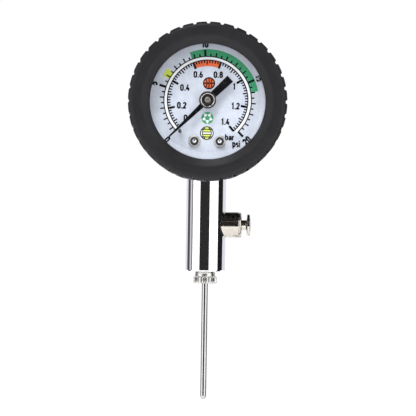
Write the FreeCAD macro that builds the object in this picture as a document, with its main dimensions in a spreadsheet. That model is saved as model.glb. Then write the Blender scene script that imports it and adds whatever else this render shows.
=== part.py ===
import FreeCAD, Part
import math
import os
import Sketcher

# Dial ball pressure gauge: rubber booted Bourdon gauge on a plated stem with a
# push-button bleed valve and a screw-in inflating needle.
# Frame: origin on the stem axis at the needle's shoulder, +Z up the stem,
# the dial faces -Y, the bleed valve points along +X.  Millimetres.

os.makedirs("parts", exist_ok=True)
doc = FreeCAD.newDocument("ball_gauge")
V = FreeCAD.Vector

DIMS = dict(
    gauge_z=58.15, boot_z=57.6, valve_z=18.9,
    # boot (radii, and depths measured from the stem axis towards the viewer)
    boot_r=25.0, boot_front=16.0, boot_back=-12.5, boot_lip_r=18.1, boot_lip_d=14.0,
    boot_mouth_r=20.5, boot_bore=20.6, boot_ring_bore=21.1, boot_back_r=15.5,
    boot_crown=2.2, notch_depth=0.65, notch_half=0.75, notch_count=36, boot_hole=6.45,
    # case, bezel, lens
    case_r=20.5, case_wall=0.6, case_front=12.5, case_back=-10.5,
    bezel_r=21.0, bezel_in=18.9, bezel_front=13.9, bezel_skirt=10.0, bezel_flange=0.5,
    lens_r=20.3, lens_bottom=12.55, lens_thick=0.8, lens_rise=0.7, lens_dome=18.5,
    spacer_out=19.8, spacer_in=18.9, spacer_lo=9.45, spacer_hi=12.45,
    # dial
    dial_r=19.2, dial_lo=9.0, dial_thick=0.4, dial_hole=1.7,
    dscrew_x=3.99, dscrew_y=-12.91, dscrew_head=1.9, dscrew_shank=1.0, dscrew_high=1.35,
    post_r=1.6, post_spigot=1.0,
    stop_rad=13.06, stop_deg=228.9, stop_r=0.55,
    # pointer and hub
    rest_deg=224.3, pointer_tip=16.5, pointer_w=1.6, pointer_tipw=0.5,
    tail_len=9.75, tail_w=2.2, tail_endw=2.6, pointer_lo=10.9, pointer_thick=0.3,
    cap_r=2.7, ring_out=2.22, ring_in=1.92, bush_r=0.93, hub_bore=0.29,
    # movement
    gear_module=0.2, pinion_teeth=12, sector_teeth=84, pivot_x=6.171, pivot_y=-7.354,
    shaft_r=0.6, plate_thick=0.8, back_plate=1.0, front_plate=6.6,
    tail_px=8.6604, tail_py=-8.1086, tip_px=9.5925, tip_py=-1.9572,
    link_lo=3.9, link_thick=0.5, link_pin=0.45, link_hole=0.5, link_open=0.58,
    pillar_r=1.0,
    # bourdon tube and socket
    tube_mid=14.5, tube_wide=6.0, tube_deep=1.6, tube_wall=0.2, tube_near=1.0,
    tube_from=-105.0, tube_to=-15.0,
    block_half=5.5, block_low=-19.0, block_step=-15.5, block_top=-11.0, block_far=9.85,
    shank_r=5.0, shank_low=28.0, shank_bore=1.3,
    # stem
    stem_r=6.35, stem_low=3.95, stem_top=37.15, stem_passage=1.5, stem_bore=5.05, stem_bore_low=27.4,
    stud_hole=2.55, stud_hole_top=11.0, washer_rec=3.35, washer_rec_top=5.0,
    # valve, measured along its axis
    vh_spigot=3.0, vh_inner=1.9, vh_seat=4.7, vh_r=4.1, vh_end_r=3.95, vh_end=11.4,
    vh_cavity=2.3, vh_cavity_end=8.5, vh_bore=1.68,
    button_in=8.9, button_stem=1.6, button_head=3.5, button_near=13.1, button_far=14.4, button_bore_end=11.0,
    rod_r=1.0, rod_in=3.0, flange_r=2.1, flange_lo=6.45, flange_hi=7.25,
    seal_mid=1.62, seal_sec=0.6, seal_at=7.87,
    spring_r=1.6, spring_wire=0.2, spring_lo=3.25, spring_hi=6.4, spring_turns=4.0,
    retainer_lo=2.5, retainer_hi=3.2,
    # needle
    head_knurl_r=3.85, head_knurl_top=2.35, head_r=3.2, head_top=3.9, stud_r=2.45, stud_top=9.0,
    head_low=0.1, knurl_count=26, knurl_depth=0.35, knurl_half=0.33,
    needle_r=1.0, needle_bore=0.55, needle_neck=0.8, needle_top=5.0, needle_tip=-37.1, needle_hole=0.35, needle_hole_z=-34.0,
)
sheet = doc.addObject("Spreadsheet::Sheet", "Dims")
row = 1
for key, value in DIMS.items():
    sheet.set("A%d" % row, key)
    sheet.set("B%d" % row, repr(float(value)))
    sheet.setAlias("B%d" % row, key)
    row += 1
doc.recompute()


class Q:
    """A number that remembers the spreadsheet expression it came from."""

    def __init__(self, v, t):
        self.v = float(v)
        self.t = t

    def __add__(self, o):
        o = q(o)
        return Q(self.v + o.v, "(%s + %s)" % (self.t, o.t))

    __radd__ = __add__

    def __sub__(self, o):
        o = q(o)
        return Q(self.v - o.v, "(%s - %s)" % (self.t, o.t))

    def __rsub__(self, o):
        return q(o) - self

    def __mul__(self, o):
        o = q(o)
        return Q(self.v * o.v, "(%s * %s)" % (self.t, o.t))

    __rmul__ = __mul__

    def __truediv__(self, o):
        o = q(o)
        return Q(self.v / o.v, "(%s / %s)" % (self.t, o.t))

    def __neg__(self):
        return Q(-self.v, "(0 - %s)" % self.t)


def q(o):
    return o if isinstance(o, Q) else Q(o, "%.6f" % o)


class Names:
    pass


D = Names()
for key, value in DIMS.items():
    setattr(D, key, Q(value, "Dims.%s" % key))


def num(key):
    return float(sheet.get(key))


def role(body, name):
    for f in body.Origin.OriginFeatures:
        if f.Role == name:
            return f
    raise RuntimeError(name)


BOOT = (Q(0, "0"), Q(0, "0"), D.boot_z, V(1, 0, 0), 90.0)
GAUGE = (Q(0, "0"), Q(0, "0"), D.gauge_z, V(1, 0, 0), 90.0)     # local z points at the viewer
VALVE = (Q(0, "0"), Q(0, "0"), D.valve_z, V(0, 1, 0), 90.0)     # local z points along +X
WORLD = (Q(0, "0"), Q(0, "0"), Q(0, "0"), V(0, 0, 1), 0.0)
nodes = {}


def place(obj, where):
    x, y, z, axis, angle = where
    obj.Placement = FreeCAD.Placement(V(x.v, y.v, z.v), FreeCAD.Rotation(axis, angle))
    if where is not WORLD:
        obj.setExpression("Placement.Base.z", z.t)


def new_body(name):
    b = doc.addObject("PartDesign::Body", name)
    b.Label = name
    return b


def new_sketch(body, plane, name, lift=None):
    s = body.newObject("Sketcher::SketchObject", name)
    s.AttachmentSupport = [(role(body, plane), "")]
    s.MapMode = "FlatFace"
    if lift is not None:
        lift = q(lift)
        s.AttachmentOffset = FreeCAD.Placement(V(0, 0, lift.v), FreeCAD.Rotation())
        s.setExpression("AttachmentOffset.Base.z", lift.t)
    return s


def fix_point(s, geo, pos, x, y):
    if abs(x.v) < 1e-9:
        s.addConstraint(Sketcher.Constraint("PointOnObject", geo, pos, -2))
    else:
        i = s.addConstraint(Sketcher.Constraint("DistanceX", -1, 1, geo, pos, x.v))
        if "Dims" in x.t:
            s.setExpression("Constraints[%d]" % i, x.t)
    if abs(y.v) < 1e-9:
        s.addConstraint(Sketcher.Constraint("PointOnObject", geo, pos, -1))
    else:
        i = s.addConstraint(Sketcher.Constraint("DistanceY", -1, 1, geo, pos, y.v))
        if "Dims" in y.t:
            s.setExpression("Constraints[%d]" % i, y.t)


def loop(s, pts):
    pts = [(q(x), q(y)) for x, y in pts]
    n = len(pts)
    ids = []
    for i in range(n):
        a, b = pts[i], pts[(i + 1) % n]
        ids.append(s.addGeometry(Part.LineSegment(V(a[0].v, a[1].v, 0), V(b[0].v, b[1].v, 0)), False))
    for i in range(n):
        s.addConstraint(Sketcher.Constraint("Coincident", ids[i], 2, ids[(i + 1) % n], 1))
    for i in range(n):
        fix_point(s, ids[i], 1, pts[i][0], pts[i][1])


def ring(s, x, y, r):
    x, y, r = q(x), q(y), q(r)
    g = s.addGeometry(Part.Circle(V(x.v, y.v, 0), V(0, 0, 1), r.v), False)
    i = s.addConstraint(Sketcher.Constraint("Radius", g, r.v))
    if "Dims" in r.t:
        s.setExpression("Constraints[%d]" % i, r.t)
    if abs(x.v) < 1e-9 and abs(y.v) < 1e-9:
        s.addConstraint(Sketcher.Constraint("Coincident", g, 3, -1, 1))
    else:
        fix_point(s, g, 3, x, y)


def rounded(body, feat, pick, r, kind="Fillet"):
    doc.recompute()
    names = []
    for i, e in enumerate(feat.Shape.Edges):
        c = e.Curve
        if c.TypeId == "Part::GeomCircle" and pick(c.Radius, c.Center, e):
            names.append("Edge%d" % (i + 1))
    if not names:
        raise RuntimeError("no edge to round on %s" % body.Label)
    f = body.newObject("PartDesign::%s" % kind, "%s_%s" % (body.Label, kind.lower()))
    f.Base = (feat, names)
    if kind == "Fillet":
        f.Radius = r
    else:
        f.Size = r
    body.Tip = f
    doc.recompute()
    return f


def lathe(name, pts, where, angle=360.0, keep=True):
    """Solid of revolution: pts are (radius, height) round the local z axis."""
    b = new_body(name)
    s = new_sketch(b, "XZ_Plane", name + "_profile")
    loop(s, pts)
    f = b.newObject("PartDesign::Revolution", name + "_turned")
    f.Profile = s
    f.ReferenceAxis = (s, ["V_Axis"])
    f.Angle = angle
    b.Tip = f
    place(b, where)
    if keep:
        nodes[name] = b
    return b, f


def plate(name, pts, holes, low, high, where, outer=None, keep=True):
    """Flat piece: outline and holes seen along the local z axis."""
    b = new_body(name)
    s = new_sketch(b, "XY_Plane", name + "_outline", low)
    if outer is not None:
        ring(s, *outer)
    else:
        loop(s, pts)
    for x, y, r in holes:
        ring(s, x, y, r)
    f = b.newObject("PartDesign::Pad", name + "_pad")
    f.Profile = s
    f.Length = q(high).v
    f.setExpression("Length", q(high).t)
    b.Tip = f
    place(b, where)
    if keep:
        nodes[name] = b
    return b, f


def add_pad(b, name, pts, holes, low, high, outer=None):
    s = new_sketch(b, "XY_Plane", name + "_outline", low)
    if outer is not None:
        ring(s, *outer)
    else:
        loop(s, pts)
    for x, y, r in holes:
        ring(s, x, y, r)
    f = b.newObject("PartDesign::Pad", name)
    f.Profile = s
    f.Length = q(high).v
    f.setExpression("Length", q(high).t)
    b.Tip = f
    return f


def pocket(b, name, pts, low, depth, holes=()):
    s = new_sketch(b, "XY_Plane", name + "_outline", low)
    if pts:
        loop(s, pts)
    for x, y, r in holes:
        ring(s, x, y, r)
    f = b.newObject("PartDesign::Pocket", name)
    f.Profile = s
    f.Length = q(depth).v
    f.setExpression("Length", q(depth).t)
    b.Tip = f
    return f


def pattern(b, feat, name, count):
    p = b.newObject("PartDesign::PolarPattern", name)
    p.Originals = [feat]
    p.Axis = (role(b, "Z_Axis"), [""])
    p.Angle = 360
    p.Occurrences = int(count.v)
    p.setExpression("Occurrences", count.t)
    b.Tip = p
    return p


def drill(name, r, length, pos, axis, angle):
    """A loose cylinder used as a cutting tool; pos may hold expressions."""
    c = doc.addObject("Part::Cylinder", name)
    r, length = q(r), q(length)
    c.Radius = r.v
    c.Height = length.v
    if "Dims" in r.t:
        c.setExpression("Radius", r.t)
    if "Dims" in length.t:
        c.setExpression("Height", length.t)
    p = [q(k) for k in pos]
    c.Placement = FreeCAD.Placement(V(p[0].v, p[1].v, p[2].v), FreeCAD.Rotation(axis, angle))
    for k, letter in zip(p, "xyz"):
        if "Dims" in k.t:
            c.setExpression("Placement.Base.%s" % letter, k.t)
    return c


def block(name, x0, x1, y0, y1, z0, z1):
    c = doc.addObject("Part::Box", name)
    x0, x1, y0, y1, z0, z1 = [q(k) for k in (x0, x1, y0, y1, z0, z1)]
    for prop, k in (("Length", x1 - x0), ("Width", y1 - y0), ("Height", z1 - z0)):
        setattr(c, prop, k.v)
        if "Dims" in k.t:
            c.setExpression(prop, k.t)
    c.Placement = FreeCAD.Placement(V(x0.v, y0.v, z0.v), FreeCAD.Rotation())
    for k, letter in zip((x0, y0, z0), "xyz"):
        if "Dims" in k.t:
            c.setExpression("Placement.Base.%s" % letter, k.t)
    return c


def join(name, parts):
    f = doc.addObject("Part::MultiFuse", name)
    f.Shapes = parts
    f.Refine = True
    return f


def carve(name, base, tools):
    last = base
    for i, t in enumerate(tools):
        c = doc.addObject("Part::Cut", name if i == len(tools) - 1 else "%s_cut%d" % (name, i))
        c.Base = last
        c.Tool = t
        last = c
    last.Label = name
    nodes[name] = last
    return last


def shaped(name, solid):
    f = doc.addObject("Part::Feature", name)
    f.Label = name
    f.Shape = solid
    nodes[name] = f
    return f


def on_gauge(shape):
    shape.Placement = FreeCAD.Placement(V(0, 0, num("gauge_z")), FreeCAD.Rotation(V(1, 0, 0), 90)).multiply(shape.Placement)
    return shape


X90 = (V(1, 0, 0), 90.0)
XP = (V(0, 1, 0), 90.0)      # tool along +X
YP = (V(1, 0, 0), -90.0)     # tool along +Y

# ---------------------------------------------------------------- rubber boot
b, f = lathe("rubber_boot_blank", [
    (D.boot_lip_r, D.boot_lip_d), (D.boot_lip_r + 0.25, D.boot_lip_d + 0.35), (D.boot_mouth_r, D.boot_front),
    (D.boot_r - D.boot_crown, D.boot_front), (D.boot_r - 0.8, D.boot_front - 0.5), (D.boot_r, D.boot_front - 1.9),
    (D.boot_r, D.boot_back + 1.9), (D.boot_r - 0.8, D.boot_back + 0.5), (D.boot_r - D.boot_crown, D.boot_back),
    (D.boot_back_r + 1.2, D.boot_back), (D.boot_back_r, D.boot_back + 0.8), (D.boot_back_r, D.case_back - 0.1),
    (D.boot_lip_r, D.case_back - 0.1)], BOOT, keep=False)
deep = D.boot_r - D.notch_depth
f = pocket(b, "tread_front", [(deep, 0), (D.boot_r + 0.6, D.notch_half * 1.9), (D.boot_r + 0.6, -(D.notch_half * 1.9))],
           D.boot_front + 1, 14.0)
f = pattern(b, f, "tread_front_row", D.notch_count)
f = pocket(b, "tread_back", [(deep * 0.99619, deep * 0.08716),
                             ((D.boot_r + 0.6) * 0.9930, (D.boot_r + 0.6) * 0.08716 + D.notch_half * 1.9),
                             ((D.boot_r + 0.6) * 0.9990, (D.boot_r + 0.6) * 0.08716 - D.notch_half * 1.9)],
           Q(1.0, "1.0"), 14.5)
f = pattern(b, f, "tread_back_row", D.notch_count)
carve("rubber_boot", b, [
    drill("boot_case_bore", D.boot_bore, D.bezel_skirt - D.case_back, (0, -(D.bezel_skirt - 0.1), D.gauge_z), *YP),
    drill("boot_ring_bore_cut", D.boot_ring_bore, D.boot_lip_d - D.bezel_skirt + 0.1, (0, -D.boot_lip_d, D.gauge_z), *YP),
    drill("boot_stem_hole", D.boot_hole, 12, (0, 0, D.boot_z - 29.5), V(0, 0, 1), 0)])

# ---------------------------------------------------------------- case, bezel, lens
b, f = lathe("gauge_case_blank", [
    (0, D.case_back), (D.case_r - 0.5, D.case_back), (D.case_r, D.case_back + 0.5), (D.case_r, D.case_front),
    (D.case_r - D.case_wall, D.case_front), (D.case_r - D.case_wall, D.case_back + D.case_wall),
    (0, D.case_back + D.case_wall)], GAUGE, keep=False)
carve("gauge_case", b, [
    drill("case_shank_hole", D.shank_r + 0.1, 6, (0, 0, D.gauge_z - 23), V(0, 0, 1), 0),
    drill("case_plug_hole", 2.5, 4, (0, 8, D.gauge_z + 9), *YP),
    drill("case_screw_hole_a", 1.3, 4, (-3.4, 8, D.gauge_z - 12.3), *YP),
    drill("case_screw_hole_b", 1.3, 4, (3.4, 8, D.gauge_z - 12.3), *YP)])
lathe("bezel_ring", [
    (D.case_r + 0.05, D.bezel_skirt), (D.bezel_r - 0.15, D.bezel_skirt), (D.bezel_r, D.bezel_skirt + 0.2),
    (D.bezel_r, D.bezel_front - 0.3), (D.bezel_r - 0.3, D.bezel_front), (D.bezel_in, D.bezel_front),
    (D.bezel_in, D.bezel_front - D.bezel_flange), (D.case_r + 0.05, D.bezel_front - D.bezel_flange)], GAUGE)
b = new_body("lens")
s = new_sketch(b, "XZ_Plane", "lens_profile")
top = D.lens_bottom + D.lens_thick
loop(s, [(0, D.lens_bottom), (D.lens_r, D.lens_bottom), (D.lens_r, top), (D.lens_dome, top),
         (D.lens_dome * 0.75, top + D.lens_rise * 0.44), (D.lens_dome * 0.5, top + D.lens_rise * 0.75),
         (D.lens_dome * 0.25, top + D.lens_rise * 0.94), (0, top + D.lens_rise)])
f = b.newObject("PartDesign::Revolution", "lens_turned")
f.Profile = s
f.ReferenceAxis = (s, ["V_Axis"])
b.Tip = f
place(b, GAUGE)
nodes["lens"] = b
lathe("lens_gasket", [(D.spacer_in, D.spacer_lo), (D.spacer_out, D.spacer_lo), (D.spacer_out, D.spacer_hi),
                      (D.spacer_in, D.spacer_hi)], GAUGE)

# ---------------------------------------------------------------- dial
stop_a = math.radians(num("stop_deg"))
sx, sy = D.stop_rad * math.cos(stop_a), D.stop_rad * math.sin(stop_a)
plate("dial_plate", None, [(0, 0, D.dial_hole), (D.dscrew_x, D.dscrew_y, D.dscrew_shank + 0.1),
                           (-D.dscrew_x, D.dscrew_y, D.dscrew_shank + 0.1), (sx, sy, D.stop_r - 0.1)],
      D.dial_lo, D.dial_thick, GAUGE, outer=(0, 0, D.dial_r))
plate("pointer_stop_pin_blank", None, [], D.dial_lo - 0.5, Q(3.0, "3.0"), GAUGE, outer=(sx, sy, D.stop_r), keep=False)
bpin = doc.getObject("pointer_stop_pin_blank")
# shouldered pin: thin shank through the dial, body above it
b, f = plate("pointer_stop_pin", None, [], D.dial_lo - 0.5, D.dial_thick + 0.5, GAUGE, outer=(sx, sy, D.stop_r - 0.1))
f = add_pad(b, "pointer_stop_body", None, [], D.dial_lo + D.dial_thick, Q(2.2, "2.2"), outer=(sx, sy, D.stop_r))
for o in list(bpin.Group):
    pass
doc.removeObject("pointer_stop_pin_blank")

dial_top = D.dial_lo + D.dial_thick
for side, sign in (("left", -1.0), ("right", 1.0)):
    px = D.dscrew_x * sign
    b, f = plate("dial_screw_%s_blank" % side, None, [], dial_top, D.dscrew_high, GAUGE, outer=(px, D.dscrew_y, D.dscrew_head), keep=False)
    f = rounded(b, f, lambda r, c, e: abs(r - num("dscrew_head")) < 1e-6 and c.z > num("dial_lo") + num("dial_thick") + 0.5, 0.95)
    f = add_pad(b, "dscrew_shank_%s" % side, None, [], dial_top - 3.4, Q(3.4, "3.4"), outer=(px, D.dscrew_y, D.dscrew_shank))
    zc = D.gauge_z + D.dscrew_y
    face = -(dial_top + D.dscrew_high)
    carve("dial_screw_%s" % side, b, [
        block("cross_a_%s" % side, px - 1.05, px + 1.05, face - 0.1, face + 0.75, zc - 0.24, zc + 0.24),
        block("cross_b_%s" % side, px - 0.24, px + 0.24, face - 0.1, face + 0.75, zc - 1.05, zc + 1.05)])
    b, f = plate("dial_post_%s" % side, None, [(px, D.dscrew_y, D.dscrew_shank + 0.05)], D.dial_lo - 3.5, Q(3.5, "3.5"), GAUGE,
                 outer=(px, D.dscrew_y, D.post_r))
    f = add_pad(b, "post_body_%s" % side, None, [], D.back_plate + D.plate_thick, D.dial_lo - 3.5 - D.back_plate - D.plate_thick,
                outer=(px, D.dscrew_y, D.post_r))
    f = add_pad(b, "post_spigot_%s" % side, None, [], Q(-0.5, "-0.5"), D.back_plate + D.plate_thick + 0.5,
                outer=(px, D.dscrew_y, D.post_spigot))

# ---------------------------------------------------------------- pointer, hub
ca, sa = math.cos(math.radians(num("rest_deg"))), math.sin(math.radians(num("rest_deg")))


def turned(u, w):
    u, w = q(u), q(w)
    return (u * ca - w * sa, u * sa + w * ca)


plate("pointer", [turned(D.pointer_tip, D.pointer_tipw / 2), turned(2.4, D.pointer_w / 2), turned(1.6, 1.75),
                  turned(-1.6, 1.75), turned(-2.2, D.tail_w / 2), turned(-D.tail_len, D.tail_endw / 2),
                  turned(-D.tail_len, -(D.tail_endw / 2)), turned(-2.2, -(D.tail_w / 2)), turned(-1.6, -1.75),
                  turned(1.6, -1.75), turned(2.4, -(D.pointer_w / 2)), turned(D.pointer_tip, -(D.pointer_tipw / 2))],
      [(0, 0, 1.0)], D.pointer_lo, D.pointer_thick, GAUGE)
ptop = D.pointer_lo + D.pointer_thick
lathe("pointer_cap", [(D.bush_r, ptop), (D.cap_r, ptop), (D.cap_r, ptop + 0.3), (D.ring_out, ptop + 0.45),
                      (D.ring_in, ptop + 0.45), (D.ring_in, ptop + 0.35), (D.bush_r, ptop + 0.35)], GAUGE)
lathe("hub_ring", [(D.ring_in + 0.01, ptop + 0.45), (D.ring_out, ptop + 0.45), (D.ring_out, ptop + 0.6),
                   (D.ring_out - 0.1, ptop + 0.68), (D.ring_in + 0.01, ptop + 0.6)], GAUGE)
b, f = lathe("hub_bush", [(D.hub_bore, D.pointer_lo - 0.58), (1.5, D.pointer_lo - 0.58), (1.5, D.pointer_lo),
                          (D.bush_r, D.pointer_lo), (D.bush_r, ptop + 0.75), (D.bush_r - 0.15, ptop + 0.9),
                          (D.hub_bore, ptop + 0.9)], GAUGE)


# ---------------------------------------------------------------- gears
def gear_outline(cx, cy, teeth, pitch_r, first, count, half, tip_half, root_half, add, ded, closing):
    """Straight-flanked teeth on an arc; angles in radians, anticlockwise."""
    pts = []
    step = 2 * math.pi / teeth
    for k in range(count):
        mid = first + k * step
        for r, w in ((pitch_r - ded, -root_half), (pitch_r, -half), (pitch_r + add, -tip_half),
                     (pitch_r + add, tip_half), (pitch_r, half), (pitch_r - ded, root_half)):
            a = mid + w / r
            pts.append(V(cx + r * math.cos(a), cy + r * math.sin(a), 0))
    pts += closing
    return pts


m = num("gear_module")
n1, n2 = int(num("pinion_teeth")), int(num("sector_teeth"))
r1, r2 = m * n1 / 2, m * n2 / 2
gx, gy = num("pivot_x"), num("pivot_y")
toward = math.atan2(-gy, -gx)            # from the sector's pivot to the pinion
back = math.atan2(gy, gx)                # from the pinion to the sector's pivot
pts = gear_outline(0, 0, n1, r1, back, n1, 0.125, 0.05, 0.185, m * 0.8, m * 1.15, [])
teeth = Part.Face(Part.makePolygon(pts + [pts[0]])).extrude(V(0, 0, 2.0))
teeth.translate(V(0, 0, 4.2))
shaft = Part.makeCylinder(num("shaft_r"), 9.7, V(0, 0, 0.6))
collet = Part.makeCylinder(1.3, 0.9, V(0, 0, 2.65))
spike = Part.makeCone(num("hub_bore") - 0.015, num("hub_bore") - 0.03, 1.45, V(0, 0, 10.3))
one = shaft.fuse([teeth, collet, spike]).removeSplitter()
shaped("pinion_shaft", on_gauge(one))

step = 2 * math.pi / n2
gear_half = math.pi / n2
lead = 2
sweep_teeth = int(math.ceil(math.radians(270.0 / 7.0) / step)) + 1
first = toward + gear_half - step * (sweep_teeth + 1)
count = sweep_teeth + 1 + lead
a0, a1 = first, first + (count - 1) * step
root = r2 - m * 1.15 - 0.9
tailx, taily = num("tail_px"), num("tail_py")


def at(r, a):
    return V(gx + r * math.cos(a), gy + r * math.sin(a), 0)


close = [at(root, a1 + 0.02), at(root, a1 - 0.06), at(root - 0.3, a1 - 0.12), at(1.6, toward + 0.75)]
close += [at(1.75, toward + 0.75 + k * 0.35) for k in range(1, 4)]
ta = math.atan2(taily - gy, tailx - gx)
tl = math.hypot(tailx - gx, taily - gy)
close += [at(1.75, ta - 1.5), V(tailx + 1.05 * math.cos(ta - 1.57), taily + 1.05 * math.sin(ta - 1.57), 0)]
close += [V(tailx + 1.05 * math.cos(ta + k), taily + 1.05 * math.sin(ta + k), 0) for k in (-0.9, -0.3, 0.3, 0.9, 1.57)]
close += [at(1.75, ta + 1.1), at(1.6, a0 - 0.5), at(3.2, a0 - 0.02), at(root - 0.3, a0 + 0.06), at(root, a0 + 0.0), at(root, a0 - 0.02)]
pts = gear_outline(gx, gy, n2, r2, first, count, 0.125, 0.05, 0.185, m * 0.8, m * 1.15, close)
flat = Part.Face(Part.makePolygon(pts + [pts[0]])).extrude(V(0, 0, 0.8))
flat.translate(V(0, 0, 4.8))
# lightening window between the two arms
mida = (a0 + a1) / 2
win = [at(3.2, mida - 0.18), at(root - 1.1, mida - 0.25), at(root - 1.0, mida), at(root - 1.1, mida + 0.25), at(3.2, mida + 0.18)]
cutter = Part.Face(Part.makePolygon(win + [win[0]])).extrude(V(0, 0, 3))
cutter.translate(V(0, 0, 4))
flat = flat.cut(cutter)
flat = flat.cut(Part.makeCylinder(num("shaft_r"), 3, V(gx, gy, 4)))
flat = flat.cut(Part.makeCylinder(num("link_pin"), 3, V(tailx, taily, 4)))
shaped("sector_gear", on_gauge(flat))

lathe_s = (D.pivot_x, Q(0, "0"), D.gauge_z + D.pivot_y, V(1, 0, 0), 90.0)
b, f = plate("sector_arbor", None, [], Q(0.6, "0.6"), Q(7.1, "7.1"), GAUGE, outer=(D.pivot_x, D.pivot_y, D.shaft_r))
f = add_pad(b, "sector_arbor_collar", None, [], Q(2.2, "2.2"), Q(2.6, "2.6"), outer=(D.pivot_x, D.pivot_y, 1.2))
f = add_pad(b, "sector_arbor_boss", None, [], Q(5.6, "5.6"), Q(0.7, "0.7"), outer=(D.pivot_x, D.pivot_y, 1.2))

# ---------------------------------------------------------------- movement frame
front = [(-6.6, 4.2), (6.2, 4.2), (6.2, -3.5), (8.2, -5.5), (8.2, -9.4), (7.3, -10.3), (-6.6, -10.3)]
backo = [(-6.6, 4.2), (6.2, 4.2), (6.2, -3.5), (8.2, -5.5), (8.2, -9.4), (7.3, -10.3), (5.4, -10.3), (5.4, -15.2),
         (-5.4, -15.2), (-5.4, -10.3), (-6.6, -10.3)]
pillars = [(-5.3, 2.8), (4.7, 2.9), (-4.6, -9.0)]
bearings = [(0, 0, D.shaft_r + 0.04), (D.pivot_x, D.pivot_y, D.shaft_r + 0.04)]
plate("movement_front_plate", front, bearings + [(x, y, 0.62) for x, y in pillars], D.front_plate, D.plate_thick, GAUGE)
plate("movement_back_plate", backo, bearings + [(D.dscrew_x, D.dscrew_y, D.post_spigot + 0.03),
                                                (-D.dscrew_x, D.dscrew_y, D.post_spigot + 0.03)],
      D.back_plate, D.plate_thick, GAUGE)
gap = D.front_plate - D.back_plate - D.plate_thick
for i, (x, y) in enumerate(pillars):
    plate("movement_pillar_%d" % (i + 1), None, [(x, y, 0.5)], D.back_plate + D.plate_thick, gap, GAUGE, outer=(x, y, D.pillar_r))
    b, f = plate("movement_screw_%d" % (i + 1), None, [], D.front_plate - 3.0, Q(3.8, "3.8"), GAUGE, outer=(x, y, 0.48))
    f = add_pad(b, "mscrew_head_%d" % (i + 1), None, [], D.front_plate + D.plate_thick, Q(0.7, "0.7"), outer=(x, y, 1.15))
    face = D.front_plate + D.plate_thick + 0.7
    f = pocket(b, "mscrew_slot_%d" % (i + 1), [(x - 1.3, y - 0.15), (x + 1.3, y - 0.15), (x + 1.3, y + 0.15), (x - 1.3, y + 0.15)],
               face, 0.35)

# hairspring: flat spiral from the collet to its stud
turns, ra, rb, th = 4.5, 1.36, 4.1, 0.055
inner, outer = [], []
for i in range(181):
    k = i / 180.0
    a = -turns * 2 * math.pi * k + math.radians(180) + turns * 2 * math.pi
    r = ra + (rb - ra) * k
    inner.append(V((r - th) * math.cos(a), (r - th) * math.sin(a), 0))
    outer.append(V((r + th) * math.cos(a), (r + th) * math.sin(a), 0))
c1, c2 = Part.BSplineCurve(), Part.BSplineCurve()
c1.interpolate(inner)
c2.interpolate(outer)
wire = Part.Wire([c1.toShape(), Part.makeLine(inner[-1], outer[-1]), c2.toShape(), Part.makeLine(outer[0], inner[0])])
ribbon = Part.Face(wire).extrude(V(0, 0, 0.6))
ribbon.translate(V(0, 0, 2.8))
shaped("hairspring", on_gauge(ribbon))
plate("hairspring_stud", [(-4.75, -0.45), (-4.2, -0.45), (-4.2, 0.45), (-4.75, 0.45)], [], D.back_plate + D.plate_thick, Q(1.8, "1.8"), GAUGE)

# ---------------------------------------------------------------- link and pins
lx0, ly0, lx1, ly1 = num("tail_px"), num("tail_py"), num("tip_px"), num("tip_py")
la = math.atan2(ly1 - ly0, lx1 - lx0)
ll = math.hypot(lx1 - lx0, ly1 - ly0)
pts = []
for k in range(9):
    a = math.pi / 2 + la + k * math.pi / 8
    pts.append((lx0 + 0.95 * math.cos(a), ly0 + 0.95 * math.sin(a)))
for k in range(9):
    a = -math.pi / 2 + la + k * math.pi / 8
    pts.append((lx1 + 1.0 * math.cos(a), ly1 + 1.0 * math.sin(a)))
b, f = plate("link", pts, [(D.tail_px, D.tail_py, D.link_hole), (D.tip_px, D.tip_py, D.link_open)], D.link_lo, D.link_thick, GAUGE)
b, f = plate("tail_pin", None, [], D.link_lo - 0.35, Q(2.05, "2.05"), GAUGE, outer=(D.tail_px, D.tail_py, D.link_pin))
f = add_pad(b, "tail_pin_head", None, [], D.link_lo - 0.4, Q(0.35, "0.35"), outer=(D.tail_px, D.tail_py, 0.75))
b, f = plate("tip_pin", None, [], Q(-0.9, "-0.9"), D.link_lo + D.link_thick + 0.9, GAUGE, outer=(D.tip_px, D.tip_py, D.link_pin))
f = add_pad(b, "tip_pin_head", None, [], D.link_lo + D.link_thick + 0.05, Q(0.3, "0.3"), outer=(D.tip_px, D.tip_py, 0.75))
f = add_pad(b, "tip_pin_neck", None, [], D.link_lo + D.link_thick - 0.1, Q(0.2, "0.2"), outer=(D.tip_px, D.tip_py, D.link_pin))
f = add_pad(b, "tip_pin_collar", None, [], Q(0.6, "0.6"), D.link_lo - 0.65, outer=(D.tip_px, D.tip_py, 0.75))

# ---------------------------------------------------------------- bourdon tube, tip, socket
half_w, half_d, wall = num("tube_wide") / 2, num("tube_deep") / 2, num("tube_wall")


def slot_wire(hw, hd, r, z):
    """Flat oval section in the x-z plane, long side along z."""
    s = hw - hd
    a = V(r - hd, 0, z - s)
    b_ = V(r - hd, 0, z + s)
    c = V(r + hd, 0, z + s)
    d = V(r + hd, 0, z - s)
    return Part.Wire([Part.makeLine(a, b_), Part.Arc(b_, V(r, 0, z + s + hd), c).toShape(), Part.makeLine(c, d),
                      Part.Arc(d, V(r, 0, z - s - hd), a).toShape()])


mid_z = -(num("tube_near") + half_w)
span = num("tube_to") - num("tube_from") - 360.0      # clockwise sweep, negative
outer_w = slot_wire(half_w, half_d, num("tube_mid"), mid_z)
inner_w = slot_wire(half_w - wall, half_d - wall, num("tube_mid"), mid_z)
sweep = 360.0 + num("tube_from") - num("tube_to")
solid = Part.Face(outer_w).revolve(V(0, 0, 0), V(0, 0, 1), sweep).cut(Part.Face(inner_w).revolve(V(0, 0, 0), V(0, 0, 1), sweep))
solid.rotate(V(0, 0, 0), V(0, 0, 1), num("tube_to"))
shaped("bourdon_tube", on_gauge(solid))


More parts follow.
